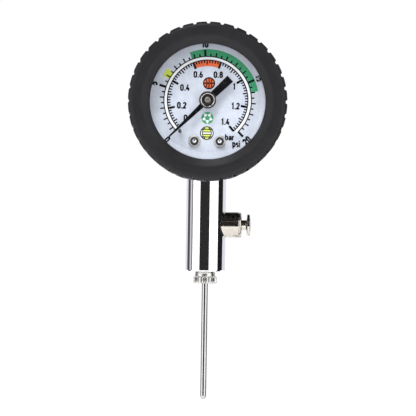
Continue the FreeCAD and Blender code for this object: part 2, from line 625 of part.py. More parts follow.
def polar(r, deg):
    a = math.radians(deg)
    return (r * math.cos(a), r * math.sin(a))


t0 = num("tube_to") - 0.1
outl = [polar(13.4, t0), polar(15.7, t0), polar(15.75, t0 - 4.5), polar(15.7, t0 - 9), polar(13.4, t0 - 9)]
b, f = plate("bourdon_tip", outl, [], Q(-7.6, "-7.6"), Q(7.2, "7.2"), GAUGE)
e0, e1 = polar(14.6, t0 - 0.2), polar(14.6, t0 - 8.5)
tx, ty = num("tip_px"), num("tip_py")
da = math.atan2((e0[1] + e1[1]) / 2 - ty, (e0[0] + e1[0]) / 2 - tx)
lug = [e1, e0] + [(tx + 1.15 * math.cos(da + math.pi / 2 + k * math.pi / 6), ty + 1.15 * math.sin(da + math.pi / 2 + k * math.pi / 6)) for k in range(7)]
f = add_pad(b, "tip_lug", lug, [(D.tip_px, D.tip_py, D.link_pin)], Q(-0.93, "-0.93"), Q(1.53, "1.53"))

gz = D.gauge_z
slot = Part.makeBox(1.9, 1.9, 1.9)
body_a = block("socket_upper", -D.block_half, D.block_half, -1.0, D.block_far, gz + D.block_low, gz + D.block_top)
body_b = block("socket_foot", -D.block_half, D.block_half, -5.5, 0, gz + D.block_low, gz + D.block_step)
shank = drill("socket_shank", D.shank_r, gz + D.block_low - D.shank_low + 0.5, (0, 0, D.shank_low), V(0, 0, 1), 0)
whole = join("socket_whole", [body_a, body_b, shank])
b, f = lathe("socket_slot", [(D.tube_mid - D.tube_deep / 2 - 0.04, -(D.tube_near - 0.05)),
                             (D.tube_mid + D.tube_deep / 2 + 0.04, -(D.tube_near - 0.05)),
                             (D.tube_mid + D.tube_deep / 2 + 0.04, -(D.tube_near + D.tube_wide + 0.05)),
                             (D.tube_mid - D.tube_deep / 2 - 0.04, -(D.tube_near + D.tube_wide + 0.05))], GAUGE, angle=22.0, keep=False)
b.Placement = b.Placement.multiply(FreeCAD.Placement(V(0, 0, 0), FreeCAD.Rotation(V(0, 0, 1), -126.8)))
carve("socket_block", whole, [
    b,
    drill("socket_bore", D.shank_bore, gz - 13.7 - D.shank_low, (0, 0, D.shank_low - 0.1), V(0, 0, 1), 0),
    drill("socket_cross_a", 0.8, 4.6, (0, -0.6, gz - 14.6), *YP),
    drill("socket_cross_b", 0.8, 3.9, (-3.9, 4.0, gz - 14.6), *XP),
    drill("socket_post_a", D.post_spigot + 0.03, 1.9, (D.dscrew_x, -1.1, gz + D.dscrew_y), *YP),
    drill("socket_post_b", D.post_spigot + 0.03, 1.9, (-D.dscrew_x, -1.1, gz + D.dscrew_y), *YP),
    drill("socket_screw_a", 1.25, 2.6, (3.4, 7.35, gz - 12.3), *YP),
    drill("socket_screw_b", 1.25, 2.6, (-3.4, 7.35, gz - 12.3), *YP)])

# case screws and blow-out plug in the case back
for side, x in (("left", -3.4), ("right", 3.4)):
    b, f = plate("case_screw_%s" % side, None, [], Q(-10.6, "-10.6"), Q(3.1, "3.1"), GAUGE, outer=(x, -12.3, 1.2))
    f = add_pad(b, "cscrew_head_%s" % side, None, [], Q(-11.75, "-11.75"), Q(1.2, "1.2"), outer=(x, -12.3, 2.1))
    f = pocket(b, "cscrew_slot_%s" % side, [(x - 2.4, -12.6), (x + 2.4, -12.6), (x + 2.4, -12.0), (x - 2.4, -12.0)], Q(-11.2, "-11.2"), 0.7)
lathe("blowout_plug", [(0, -11.7), (2.6, -11.7), (3.4, -11.2), (3.4, -10.55), (2.45, -10.55), (2.45, -9.85), (3.0, -9.7), (2.2, -8.8), (0, -8.8)],
      (Q(0, "0"), Q(0, "0"), D.gauge_z + 9.0, V(1, 0, 0), 90.0))

# ---------------------------------------------------------------- stem
b, f = lathe("stem_blank", [
    (D.washer_rec, D.stem_low), (D.stem_r - 0.45, D.stem_low), (D.stem_r - 0.13, D.stem_low + 0.13), (D.stem_r, D.stem_low + 0.45),
    (D.stem_r, D.stem_top - 0.3), (D.stem_r - 0.3, D.stem_top), (D.stem_bore, D.stem_top), (D.stem_bore, D.stem_bore_low),
    (D.stem_passage, D.stem_bore_low), (D.stem_passage, D.stud_hole_top), (D.stud_hole, D.stud_hole_top),
    (D.stud_hole, D.washer_rec_top), (D.washer_rec, D.washer_rec_top)], WORLD, keep=False)
carve("stem_tube", b, [
    drill("stem_valve_seat", D.vh_r + 0.04, 5, (4.4, 0, D.valve_z), *XP),
    drill("stem_valve_bore", D.vh_spigot + 0.04, 5, (1.2, 0, D.valve_z), *XP)])
lathe("socket_seal", [(D.shank_r + 0.05, D.stem_top + 0.02), (6.1, D.stem_top + 0.02), (6.1, D.stem_top + 0.44),
                      (D.shank_r + 0.05, D.stem_top + 0.44)], WORLD)

# ---------------------------------------------------------------- bleed valve
b, f = lathe("valve_housing", [
    (D.vh_cavity, D.vh_inner), (D.vh_spigot, D.vh_inner), (D.vh_spigot, D.vh_seat), (D.vh_r, D.vh_seat), (D.vh_end_r, D.vh_end - 1.9),
    (D.vh_end_r, D.vh_end), (D.vh_bore, D.vh_end), (D.vh_bore, D.vh_cavity_end), (D.vh_cavity, D.vh_cavity_end)], VALVE)
f = rounded(b, f, lambda r, c, e: abs(r - num("vh_end_r")) < 1e-6 and abs(c.z - num("vh_end")) < 1e-6, 1.8)
lathe("valve_gasket", [(D.vh_spigot + 0.03, 4.42), (4.0, 4.42), (4.0, D.vh_seat - 0.02), (D.vh_spigot + 0.03, D.vh_seat - 0.02)], VALVE)
b, f = lathe("release_button", [
    (0, D.button_bore_end), (D.rod_r, D.button_bore_end), (D.rod_r, D.button_in), (D.button_stem, D.button_in),
    (D.button_stem, D.button_near), (D.button_head, D.button_near), (D.button_head, D.button_near + 0.7),
    (D.button_head - 0.12, D.button_near + 0.85), (D.button_head * 0.75, D.button_far - 0.18), (D.button_head * 0.4, D.button_far - 0.04),
    (0, D.button_far)], VALVE)
lathe("valve_rod", [(0, D.rod_in), (D.rod_r - 0.2, D.rod_in), (D.rod_r, D.rod_in + 0.2), (D.rod_r, D.flange_lo), (D.flange_r, D.flange_lo),
                    (D.flange_r, D.flange_hi), (D.rod_r, D.flange_hi), (D.rod_r, D.button_bore_end - 0.1), (0, D.button_bore_end - 0.1)], VALVE)
t = doc.addObject("Part::Torus", "valve_seal")
t.Label = "valve_seal"
t.Radius1 = D.seal_mid.v
t.Radius2 = D.seal_sec.v
t.setExpression("Radius1", "Dims.seal_mid")
t.setExpression("Radius2", "Dims.seal_sec")
t.Placement = FreeCAD.Placement(V(num("seal_at"), 0, num("valve_z")), FreeCAD.Rotation(V(0, 1, 0), 90))
t.setExpression("Placement.Base.x", "Dims.seal_at")
t.setExpression("Placement.Base.z", "Dims.valve_z")
nodes["valve_seal"] = t
wire_r = num("spring_wire")
lo, hi = num("spring_lo") + wire_r, num("spring_hi") - wire_r
helix = Part.makeHelix((hi - lo) / num("spring_turns"), hi - lo, num("spring_r"))
start = Part.Wire(Part.Circle(V(num("spring_r"), 0, 0), V(0, 1, 0), wire_r).toShape())
coil = Part.Wire(helix).makePipeShell([start], True, True)
coil.translate(V(0, 0, lo))
coil.Placement = FreeCAD.Placement(V(0, 0, num("valve_z")), FreeCAD.Rotation(V(0, 1, 0), 90)).multiply(coil.Placement)
shaped("valve_spring", coil)
lathe("spring_retainer", [(1.3, D.retainer_lo), (D.vh_cavity, D.retainer_lo), (D.vh_cavity, D.retainer_hi), (1.3, D.retainer_hi)], VALVE)

# ---------------------------------------------------------------- needle
lathe("needle_washer", [(D.stud_hole, D.head_top + 0.07), (D.washer_rec - 0.05, D.head_top + 0.07),
                        (D.washer_rec - 0.05, D.washer_rec_top - 0.02), (D.stud_hole, D.washer_rec_top - 0.02)], WORLD)
b, f = lathe("needle_head", [
    (D.needle_neck, D.head_low), (D.head_knurl_r - 0.25, D.head_low), (D.head_knurl_r, D.head_low + 0.25), (D.head_knurl_r, D.head_knurl_top - 0.25),
    (D.head_knurl_r - 0.25, D.head_knurl_top), (D.head_r + 0.1, D.head_knurl_top), (D.head_r, D.head_top - 0.4),
    (D.head_r - 0.3, D.head_top), (D.stud_r, D.head_top), (D.stud_r, D.stud_top - 0.4), (D.stud_r - 0.4, D.stud_top), (0.6, D.stud_top),
    (0.6, D.needle_top + 0.1), (D.needle_neck, D.needle_top + 0.1)], WORLD)
f = pocket(b, "knurl_cut", [(D.head_knurl_r - D.knurl_depth, 0), (D.head_knurl_r + 0.3, D.knurl_half * 1.6), (D.head_knurl_r + 0.3, -(D.knurl_half * 1.6))],
           D.head_knurl_top + 0.001, D.head_knurl_top + 0.1)
f = pattern(b, f, "knurl_row", D.knurl_count)
b, f = lathe("needle_blank", [
    (0, D.needle_tip), (0.45, D.needle_tip + 0.12), (0.8, D.needle_tip + 0.5), (D.needle_r, D.needle_tip + 1.2), (D.needle_r, 0), (D.needle_neck, 0), (D.needle_neck, D.needle_top),
    (D.needle_bore, D.needle_top), (D.needle_bore, D.needle_tip + 1.6), (0, D.needle_tip + 1.6)], WORLD, keep=False)
carve("needle_tube", b, [drill("needle_side_hole", D.needle_hole, 3, (-1.5, 0, D.needle_hole_z), *XP)])

# ---------------------------------------------------------------- check and write
doc.recompute()
problems = []
for o in doc.Objects:
    if any(k in ("Invalid", "Error") for k in o.State):
        problems.append("%s: %s" % (o.Label, o.State))
for name, o in nodes.items():
    sh = o.Shape
    if sh.isNull() or not sh.isValid() or not sh.Solids or sh.Volume <= 0:
        problems.append("%s: bad shape" % name)
if problems:
    raise RuntimeError("; ".join(problems))
if abs(nodes["gauge_case"].Shape.Volume - doc.getObject("gauge_case_blank").Shape.Volume) < 1:
    raise RuntimeError("the case holes cut nothing")
if abs(nodes["rubber_boot"].Shape.Volume - doc.getObject("rubber_boot_blank").Shape.Volume) < 10:
    raise RuntimeError("the boot hole cut nothing")
for name, o in nodes.items():
    o.Label = name
    o.Shape.exportStep("parts/%s.step" % name)
    print("%-22s solids %d  volume %.2f" % (name, len(o.Shape.Solids), o.Shape.Volume))
print("nodes", len(nodes))
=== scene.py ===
import math

import bmesh
import bpy
from mathutils import Matrix, Vector


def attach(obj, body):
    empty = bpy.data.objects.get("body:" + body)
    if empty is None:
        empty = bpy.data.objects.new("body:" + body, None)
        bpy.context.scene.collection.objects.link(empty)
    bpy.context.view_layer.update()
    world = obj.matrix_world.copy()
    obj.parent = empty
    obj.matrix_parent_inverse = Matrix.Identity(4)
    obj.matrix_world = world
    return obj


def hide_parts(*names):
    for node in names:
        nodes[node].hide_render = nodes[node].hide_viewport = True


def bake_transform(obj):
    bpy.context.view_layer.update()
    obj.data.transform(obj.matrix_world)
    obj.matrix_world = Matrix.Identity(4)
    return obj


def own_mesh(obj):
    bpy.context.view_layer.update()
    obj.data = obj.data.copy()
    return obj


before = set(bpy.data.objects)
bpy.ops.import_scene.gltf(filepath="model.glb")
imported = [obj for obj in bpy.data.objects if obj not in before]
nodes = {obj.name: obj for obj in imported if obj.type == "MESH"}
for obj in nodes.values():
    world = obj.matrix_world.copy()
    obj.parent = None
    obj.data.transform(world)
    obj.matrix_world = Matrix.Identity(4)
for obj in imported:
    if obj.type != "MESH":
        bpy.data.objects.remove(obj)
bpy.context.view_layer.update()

MM = 0.001
GZ = 58.15          # dial centre, mm above the origin
BZ = 57.6           # boot centre
DIAL = 9.4          # front face of the dial, mm towards the reader
scene = bpy.context.scene
rad = math.radians


# ------------------------------------------------------------------ materials
def new_mat(name):
    m = bpy.data.materials.new(name)
    m.use_nodes = True
    nt = m.node_tree
    bsdf = nt.nodes["Principled BSDF"]
    return m, nt, bsdf


def noise(nt, coord, scale, detail=3.0, rough=0.55, stretch=None):
    n = nt.nodes.new("ShaderNodeTexNoise")
    n.inputs["Scale"].default_value = scale
    n.inputs["Detail"].default_value = detail
    n.inputs["Roughness"].default_value = rough
    if stretch:
        mp = nt.nodes.new("ShaderNodeMapping")
        mp.inputs["Scale"].default_value = stretch
        nt.links.new(coord, mp.inputs["Vector"])
        coord = mp.outputs["Vector"]
    nt.links.new(coord, n.inputs["Vector"])
    return n.outputs["Fac"]


def ramp(nt, fac, stops):
    r = nt.nodes.new("ShaderNodeValToRGB")
    r.color_ramp.elements[0].position = stops[0][0]
    r.color_ramp.elements[0].color = (*stops[0][1], 1)
    r.color_ramp.elements[1].position = stops[-1][0]
    r.color_ramp.elements[1].color = (*stops[-1][1], 1)
    for p, c in stops[1:-1]:
        e = r.color_ramp.elements.new(p)
        e.color = (*c, 1)
    nt.links.new(fac, r.inputs["Fac"])
    return r.outputs["Color"]


def remap(nt, fac, lo, hi, a=0.3, b=0.7):
    r = nt.nodes.new("ShaderNodeMapRange")
    r.inputs["From Min"].default_value = a
    r.inputs["From Max"].default_value = b
    r.inputs["To Min"].default_value = lo
    r.inputs["To Max"].default_value = hi
    nt.links.new(fac, r.inputs["Value"])
    return r.outputs["Result"]


def surface(name, dark, light, rough=(0.4, 0.5), metallic=0.0, grain=3000, patch=250, bump=0.0, bump_scale=None,
            stretch=None, coat=0.0, coat_rough=0.1, specular=None, sheen=0.0):
    """Colour varies between dark and light in patches and grain; roughness and bump follow finer noise."""
    m, nt, b = new_mat(name)
    co = nt.nodes.new("ShaderNodeTexCoord").outputs["Object"]
    big = noise(nt, co, patch, 3.0)
    small = noise(nt, co, grain, 2.0, stretch=stretch)
    mix = nt.nodes.new("ShaderNodeMix")
    mix.data_type = "FLOAT"
    mix.inputs[0].default_value = 0.5
    nt.links.new(big, mix.inputs[2])
    nt.links.new(small, mix.inputs[3])
    col = ramp(nt, mix.outputs[0], [(0.35, dark), (0.65, light)])
    nt.links.new(col, b.inputs["Base Color"])
    nt.links.new(remap(nt, small, rough[0], rough[1]), b.inputs["Roughness"])
    b.inputs["Metallic"].default_value = metallic
    if specular is not None:
        b.inputs["Specular IOR Level"].default_value = specular
    if coat:
        b.inputs["Coat Weight"].default_value = coat
        b.inputs["Coat Roughness"].default_value = coat_rough
    if sheen:
        b.inputs["Sheen Weight"].default_value = sheen
        b.inputs["Sheen Roughness"].default_value = 0.5
    if bump:
        f = noise(nt, co, bump_scale or grain, 3.0, 0.6, stretch=stretch)
        bn = nt.nodes.new("ShaderNodeBump")
        bn.inputs["Strength"].default_value = 1.0
        bn.inputs["Distance"].default_value = bump * MM
        nt.links.new(f, bn.inputs["Height"])
        nt.links.new(bn.outputs["Normal"], b.inputs["Normal"])
    return m


M = {}


def tread_rubber():
    """Moulded black rubber, with painted shade on the walls and floors of the tread grooves: near-black colour and
    lowered specular.
    """
    m = surface("rubber_tread_black", (0.0080, 0.0074, 0.0090), (0.0140, 0.0132, 0.0158), (0.44, 0.56), grain=2600, patch=160,
                bump=0.012, bump_scale=5200, specular=0.26)
    nt = m.node_tree
    b = nt.nodes["Principled BSDF"]
    # Painted shade: the groove mask blends the rubber colour towards a near-black shade colour and lowers the specular
    # on the groove walls and floors.
    at = nt.nodes.new("ShaderNodeAttribute")
    at.attribute_name = "groove_painted_shade"
    col = b.inputs["Base Color"].links[0].from_socket
    mx = nt.nodes.new("ShaderNodeMix")
    mx.data_type = "RGBA"
    nt.links.new(remap(nt, at.outputs["Fac"], 0.0, 1.0, 0.04, 0.20), mx.inputs[0])
    nt.links.new(col, mx.inputs[6])
    # near-black painted shade colour for the grooves
    mx.inputs[7].default_value = (0.0018, 0.0017, 0.0020, 1)
    nt.links.new(mx.outputs[2], b.inputs["Base Color"])
    nt.links.new(remap(nt, at.outputs["Fac"], 0.26, 0.03, 0.04, 0.20), b.inputs["Specular IOR Level"])
    return m


M["rubber_tread"] = tread_rubber()
M["rubber_in"] = surface("rubber_plain_black", (0.010, 0.010, 0.011), (0.018, 0.018, 0.020), (0.55, 0.7), grain=3000, bump=0.006)
M["chrome"] = surface("chrome_plate", (0.80, 0.80, 0.815), (0.86, 0.86, 0.87), (0.035, 0.075), 1.0, grain=900, patch=90)
M["nickel"] = surface("nickel_plate", (0.46, 0.425, 0.38), (0.57, 0.535, 0.49), (0.09, 0.17), 1.0, grain=1600, patch=200,
                      bump=0.0015, bump_scale=1500)
M["screw_nickel"] = surface("nickel_satin", (0.58, 0.56, 0.54), (0.72, 0.70, 0.68), (0.26, 0.38), 1.0, grain=1800, patch=300,
                            bump=0.002, bump_scale=1800)
M["bush_nickel"] = surface("nickel_dull", (0.36, 0.33, 0.28), (0.50, 0.47, 0.41), (0.30, 0.42), 1.0, grain=1800, patch=300,
                           bump=0.002, bump_scale=1800)
M["nickel_head"] = surface("nickel_knurled", (0.50, 0.49, 0.475), (0.62, 0.61, 0.59), (0.22, 0.34), 1.0, grain=2200, patch=400,
                           bump=0.003, bump_scale=3000)
M["needle"] = surface("needle_steel", (0.44, 0.435, 0.43), (0.54, 0.535, 0.53), (0.09, 0.17), 1.0, grain=2500, patch=150,
                      stretch=(1, 1, 0.08))
M["steel"] = surface("steel_plain", (0.50, 0.50, 0.51), (0.62, 0.62, 0.63), (0.22, 0.36), 1.0, grain=2500, bump=0.002)
M["pin_steel"] = surface("pin_blackened", (0.125, 0.125, 0.13), (0.20, 0.20, 0.205), (0.28, 0.42), 1.0, grain=2200, patch=300, bump=0.002)
M["brass"] = surface("brass_turned", (0.62, 0.45, 0.19), (0.76, 0.58, 0.28), (0.22, 0.36), 1.0, grain=2200, patch=300, bump=0.003)
M["bronze"] = surface("phosphor_bronze", (0.50, 0.29, 0.15), (0.62, 0.38, 0.20), (0.25, 0.4), 1.0, grain=2200, patch=300, bump=0.002)
M["black"] = surface("pointer_black", (0.0022, 0.0022, 0.0028), (0.0050, 0.0050, 0.0058), (0.34, 0.46), grain=3000, patch=500, specular=0.05)
M["cap"] = surface("hub_cap_black", (0.008, 0.008, 0.009), (0.018, 0.018, 0.019), (0.2, 0.32), grain=3000, patch=500, specular=0.35)
# Black case and bezel paint. The dial screws also use it on their groove ring as painted shade.
M["lacquer_and_groove_shade"] = surface("case_lacquer_black", (0.012, 0.012, 0.013), (0.022, 0.022, 0.024), (0.25, 0.4), grain=1800, patch=200,
                       bump=0.004, coat=0.3, coat_rough=0.2)
M["fibre"] = surface("red_fibre", (0.22, 0.06, 0.035), (0.34, 0.10, 0.06), (0.6, 0.8), grain=3500, bump=0.006)
M["dial"] = surface("dial_silver", (0.475, 0.505, 0.575), (0.590, 0.622, 0.690), (0.38, 0.5), 0.12, grain=5200, patch=420,
                    bump=0.0012, bump_scale=6000, specular=0.4)
M["ink_black"] = surface("ink_black", (0.0022, 0.0022, 0.0032), (0.0050, 0.0050, 0.0062), (0.45, 0.6), grain=4000, patch=600, specular=0.1)
M["ink_white"] = surface("ink_white", (0.74, 0.74, 0.76), (0.82, 0.82, 0.83), (0.45, 0.6), grain=4000, patch=600)
M["ink_green"] = surface("ink_green", (0.018, 0.235, 0.095), (0.028, 0.315, 0.135), (0.45, 0.6), grain=4000, patch=500)
M["ink_orange"] = surface("ink_orange", (0.62, 0.090, 0.014), (0.76, 0.125, 0.022), (0.45, 0.6), grain=4000, patch=500)
M["ink_lime"] = surface("ink_lime", (0.50, 0.60, 0.055), (0.62, 0.72, 0.085), (0.45, 0.6), grain=4000, patch=500)


def clear_mat():
    m, nt, b = new_mat("clear_window")
    co = nt.nodes.new("ShaderNodeTexCoord").outputs["Object"]
    b.inputs["Base Color"].default_value = (0.985, 0.992, 1.0, 1)
    b.inputs["Transmission Weight"].default_value = 1.0
    b.inputs["IOR"].default_value = 1.46
    f = noise(nt, co, 300, 2.0)
    nt.links.new(remap(nt, f, 0.0, 0.035), b.inputs["Roughness"])
    lp = nt.nodes.new("ShaderNodeLightPath")
    tr = nt.nodes.new("ShaderNodeBsdfTransparent")
    tr.inputs["Color"].default_value = (0.97, 0.98, 1.0, 1)
    mx = nt.nodes.new("ShaderNodeMixShader")
    nt.links.new(lp.outputs["Is Shadow Ray"], mx.inputs[0])
    nt.links.new(b.outputs["BSDF"], mx.inputs[1])
    nt.links.new(tr.outputs["BSDF"], mx.inputs[2])
    nt.links.new(mx.outputs["Shader"], nt.nodes["Material Output"].inputs["Surface"])
    return m


M["clear"] = clear_mat()


# ------------------------------------------------------------------ mesh helpers
def make(name, verts, faces, mat, body="housing", slot=None, smooth=None, scale=MM):
    me = bpy.data.meshes.new(name)
    me.from_pydata([Vector(v) * scale for v in verts], [], faces)
    me.validate()
    bm = bmesh.new()
    bm.from_mesh(me)
    bmesh.ops.recalc_face_normals(bm, faces=bm.faces)
    bm.to_mesh(me)
    bm.free()
    o = bpy.data.objects.new(name, me)
    scene.collection.objects.link(o)
    for m in (mat if isinstance(mat, (list, tuple)) else [mat]):
        me.materials.append(m)
    if smooth is not None:
        for p in me.polygons:
            p.use_smooth = True
        me.set_sharp_from_angle(angle=rad(smooth))
    if body:
        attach(o, body)
    return o


def on_dial(u, v, s, z=GZ):
    """Front-view coordinates: u to the right, v up, s towards the reader."""
    return (u, -s, z + v)


def lathe_faces(n, m, closed_profile=True):
    faces = []
    k = m if closed_profile else m - 1
    for i in range(n):
        a, b = i * m, ((i + 1) % n) * m
        for j in range(k):
            j2 = (j + 1) % m
            faces.append((a + j, b + j, b + j2, a + j2))
    return faces


def turn(name, pts, mat, frame_fn, seg=96, body="housing", slot=None, smooth=30, **kw):
    """Closed ring or solid of revolution from (radius, height) points; radius 0 points become poles."""
    verts, faces = [], []
    idx = []
    for r, h in pts:
        if r < 1e-9:
            idx.append([len(verts)])
            verts.append(frame_fn(0, 0, h))
        else:
            idx.append(list(range(len(verts), len(verts) + seg)))
            for i in range(seg):
                a = 2 * math.pi * i / seg
                verts.append(frame_fn(r * math.cos(a), r * math.sin(a), h))
    n = len(pts)
    closed = all(r > 1e-9 for r, h in pts)
    for j in range(n if closed else n - 1):
        A, B = idx[j], idx[(j + 1) % n]
        if len(A) == 1 and len(B) == 1:
            continue
        for i in range(seg):
            i2 = (i + 1) % seg
            if len(A) == 1:
                faces.append((A[0], B[i], B[i2]))
            elif len(B) == 1:
                faces.append((A[i], A[i2], B[0]))
            else:
                faces.append((A[i], A[i2], B[i2], B[i]))
    return make(name, verts, faces, mat, body, slot, smooth, **kw)


def arc_pts(cx, cy, r, a0, a1, n):
    return [(cx + r * math.cos(rad(a0 + (a1 - a0) * i / n)), cy + r * math.sin(rad(a0 + (a1 - a0) * i / n))) for i in range(n + 1)]


# ------------------------------------------------------------------ rubber boot
def notch(dt, flat, slope):
    """1 in the floor of a notch, 0 on the lug; dt is the angle from its middle, in degrees."""
    k = (flat + slope - abs(dt)) / slope
    k = max(0.0, min(1.0, k))
    return k * k * (3 - 2 * k)


def tri(x):
    x = x % 1.0
    return 4 * abs(x - 0.5) - 1


BOOT_R, DEPTH = 25.0, 0.68


def tread(theta, s):
    """Depth of the tread pattern, 0 to 1, at an angle in degrees and a depth s."""
    mid = 1.75 + 0.75 * tri(theta / 10.0)
    g = max(0.0, min(1.0, (0.85 - abs(s - mid)) / 0.35))
    if s > mid:
        c = 0.16 * (15.5 - s)
        d = (theta - c + 5.0) % 10.0 - 5.0
        g = max(g, notch(d, 0.85, 0.75))
        d2 = (theta - c) % 10.0 - 5.0
        g = max(g, 0.55 * notch(d2, 0.18, 0.4) * max(0.0, min(1.0, (s - mid - 2.0) / 0.6)) * max(0.0, min(1.0, (12.0 - s) / 0.6)))
    else:
        c = 0.16 * (s + 12.0)
        d = (theta - c) % 10.0 - 5.0
        g = max(g, notch(d, 0.85, 0.75))
        d2 = (theta - c + 5.0) % 10.0 - 5.0
        g = max(g, 0.55 * notch(d2, 0.18, 0.4) * max(0.0, min(1.0, (mid - s - 2.0) / 0.6)) * max(0.0, min(1.0, (s + 9.0) / 0.6)))
    return g


def boot():
    prof = []          # (r, s, outer?, follows the case centre?)
    prof += [(18.1, 14.02, 0, 0), (18.1, 14.12, 0, 0), (18.16, 14.24, 0, 0)]
    for i in range(9):
        k = i / 8.0
        prof.append((18.35 + 1.75 * k, 14.42 + 1.25 * k ** 0.9, 0, 0))
    prof += [(20.32, 15.82, 0, 0), (20.6, 15.93, 0, 0), (21.0, 15.985, 0, 0), (21.6, 16.0, 0, 0), (22.3, 15.98, 0, 0), (22.9, 15.9, 0, 0)]
    for i in range(1, 13):
        a = rad(90 - 7.5 * i + 0.0)
        prof.append((22.95 + 2.05 * math.cos(a), 13.95 + 2.0 * math.sin(a) - 0.03 * (12 - i) / 12, 1, 0))
    s = 13.7
    while s > -10.3:
        prof.append((BOOT_R, s, 1, 0))
        s -= 0.26
    for i in range(0, 11):
        a = rad(0 - 9 * i)
        prof.append((23.0 + 2.0 * math.cos(a), -10.5 + 2.0 * math.sin(a), 1, 0))
    prof += [(22.3, -12.5, 0, 0), (19.5, -12.5, 0, 0), (16.9, -12.48, 0, 0), (16.2, -12.36, 0, 0), (15.7, -12.0, 0, 0), (15.52, -11.6, 0, 0),
             (15.5, -10.62, 0, 0), (20.6, -10.62, 0, 1), (20.6, 0.0, 0, 1), (20.6, 9.9, 0, 1), (21.1, 9.9, 0, 1), (21.1, 14.02, 0, 1)]
    n, m = 1080, len(prof)
    verts = []
    off = GZ - BZ
    for i in range(n):
        t = 360.0 * i / n
        c, sn = math.cos(rad(t)), math.sin(rad(t))
        for r, s, outer, inner in prof:
            if outer and r > BOOT_R - DEPTH - 0.2:
                lim = BOOT_R - DEPTH * tread(t, s)
                r = min(r, lim)
            verts.append(on_dial(r * c, r * sn + (off if inner else 0.0), s, BZ))
    o = make("boot_tread", verts, lathe_faces(n, m), M["rubber_tread"], None, None, 38)
    bpy.ops.mesh.primitive_cylinder_add(vertices=96, radius=6.42 * MM, depth=12 * MM, location=(0, 0, (BZ - 23.5) * MM))
    cut = bpy.context.object
    md = o.modifiers.new("stem_hole", "BOOLEAN")
    md.operation = "DIFFERENCE"
    md.object = cut
    md.solver = "MANIFOLD"
    dg = bpy.context.evaluated_depsgraph_get()
    me = bpy.data.meshes.new_from_object(o.evaluated_get(dg))
    while len(me.materials) > 1:
        me.materials.pop(index=len(me.materials) - 1)
    old = o.data
    o.modifiers.clear()
    o.data = me
    bpy.data.meshes.remove(old)
    bpy.data.objects.remove(cut)
    # Painted shade mask per vertex: the tread depth on the groove walls and floors, 0 on the lug faces and everywhere
    # else.
    at = me.attributes.new("groove_painted_shade", "FLOAT", "POINT")
    for v in me.vertices:
        x, s, y = v.co.x / MM, -v.co.y / MM, v.co.z / MM - BZ
        r = math.hypot(x, y)
        g = 0.0
        if r > 23.2 and -12.4 < s < 15.0:
            g = tread(math.degrees(math.atan2(y, x)) % 360.0, s)
            if abs(r - (BOOT_R - DEPTH * g)) > 0.03:
                g = 0.0
        at.data[v.index].value = g
    print("boot", len(me.vertices), "verts")
    for p in me.polygons:
        p.use_smooth = True
    me.set_sharp_from_angle(angle=rad(38))
    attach(o, "housing")
    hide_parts("rubber_boot")
    return o


boot()


# ------------------------------------------------------------------ lens
def lens_profile():
    pts = [(0.0, 12.55), (6, 12.55), (12, 12.55), (18.0, 12.55), (20.1, 12.55), (20.3, 12.62), (20.3, 13.28), (20.22, 13.35), (18.75, 13.35)]
    n = 14
    for i in range(n + 1):
        k = i / n
        r = 18.55 - 3.6 * k
        pts.append((r, 13.36 + 0.55 * math.sin(k * math.pi / 2) ** 1.0))
    for i in range(1, 9):
        k = i / 8.0
        r = 14.95 * (1 - k)
        pts.append((r, 13.91 + 0.12 * (1 - (r / 14.95) ** 2)))
    return pts


lens = turn("lens_window", lens_profile(), M["clear"], on_dial, seg=160, slot="lens", smooth=40)
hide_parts("lens")


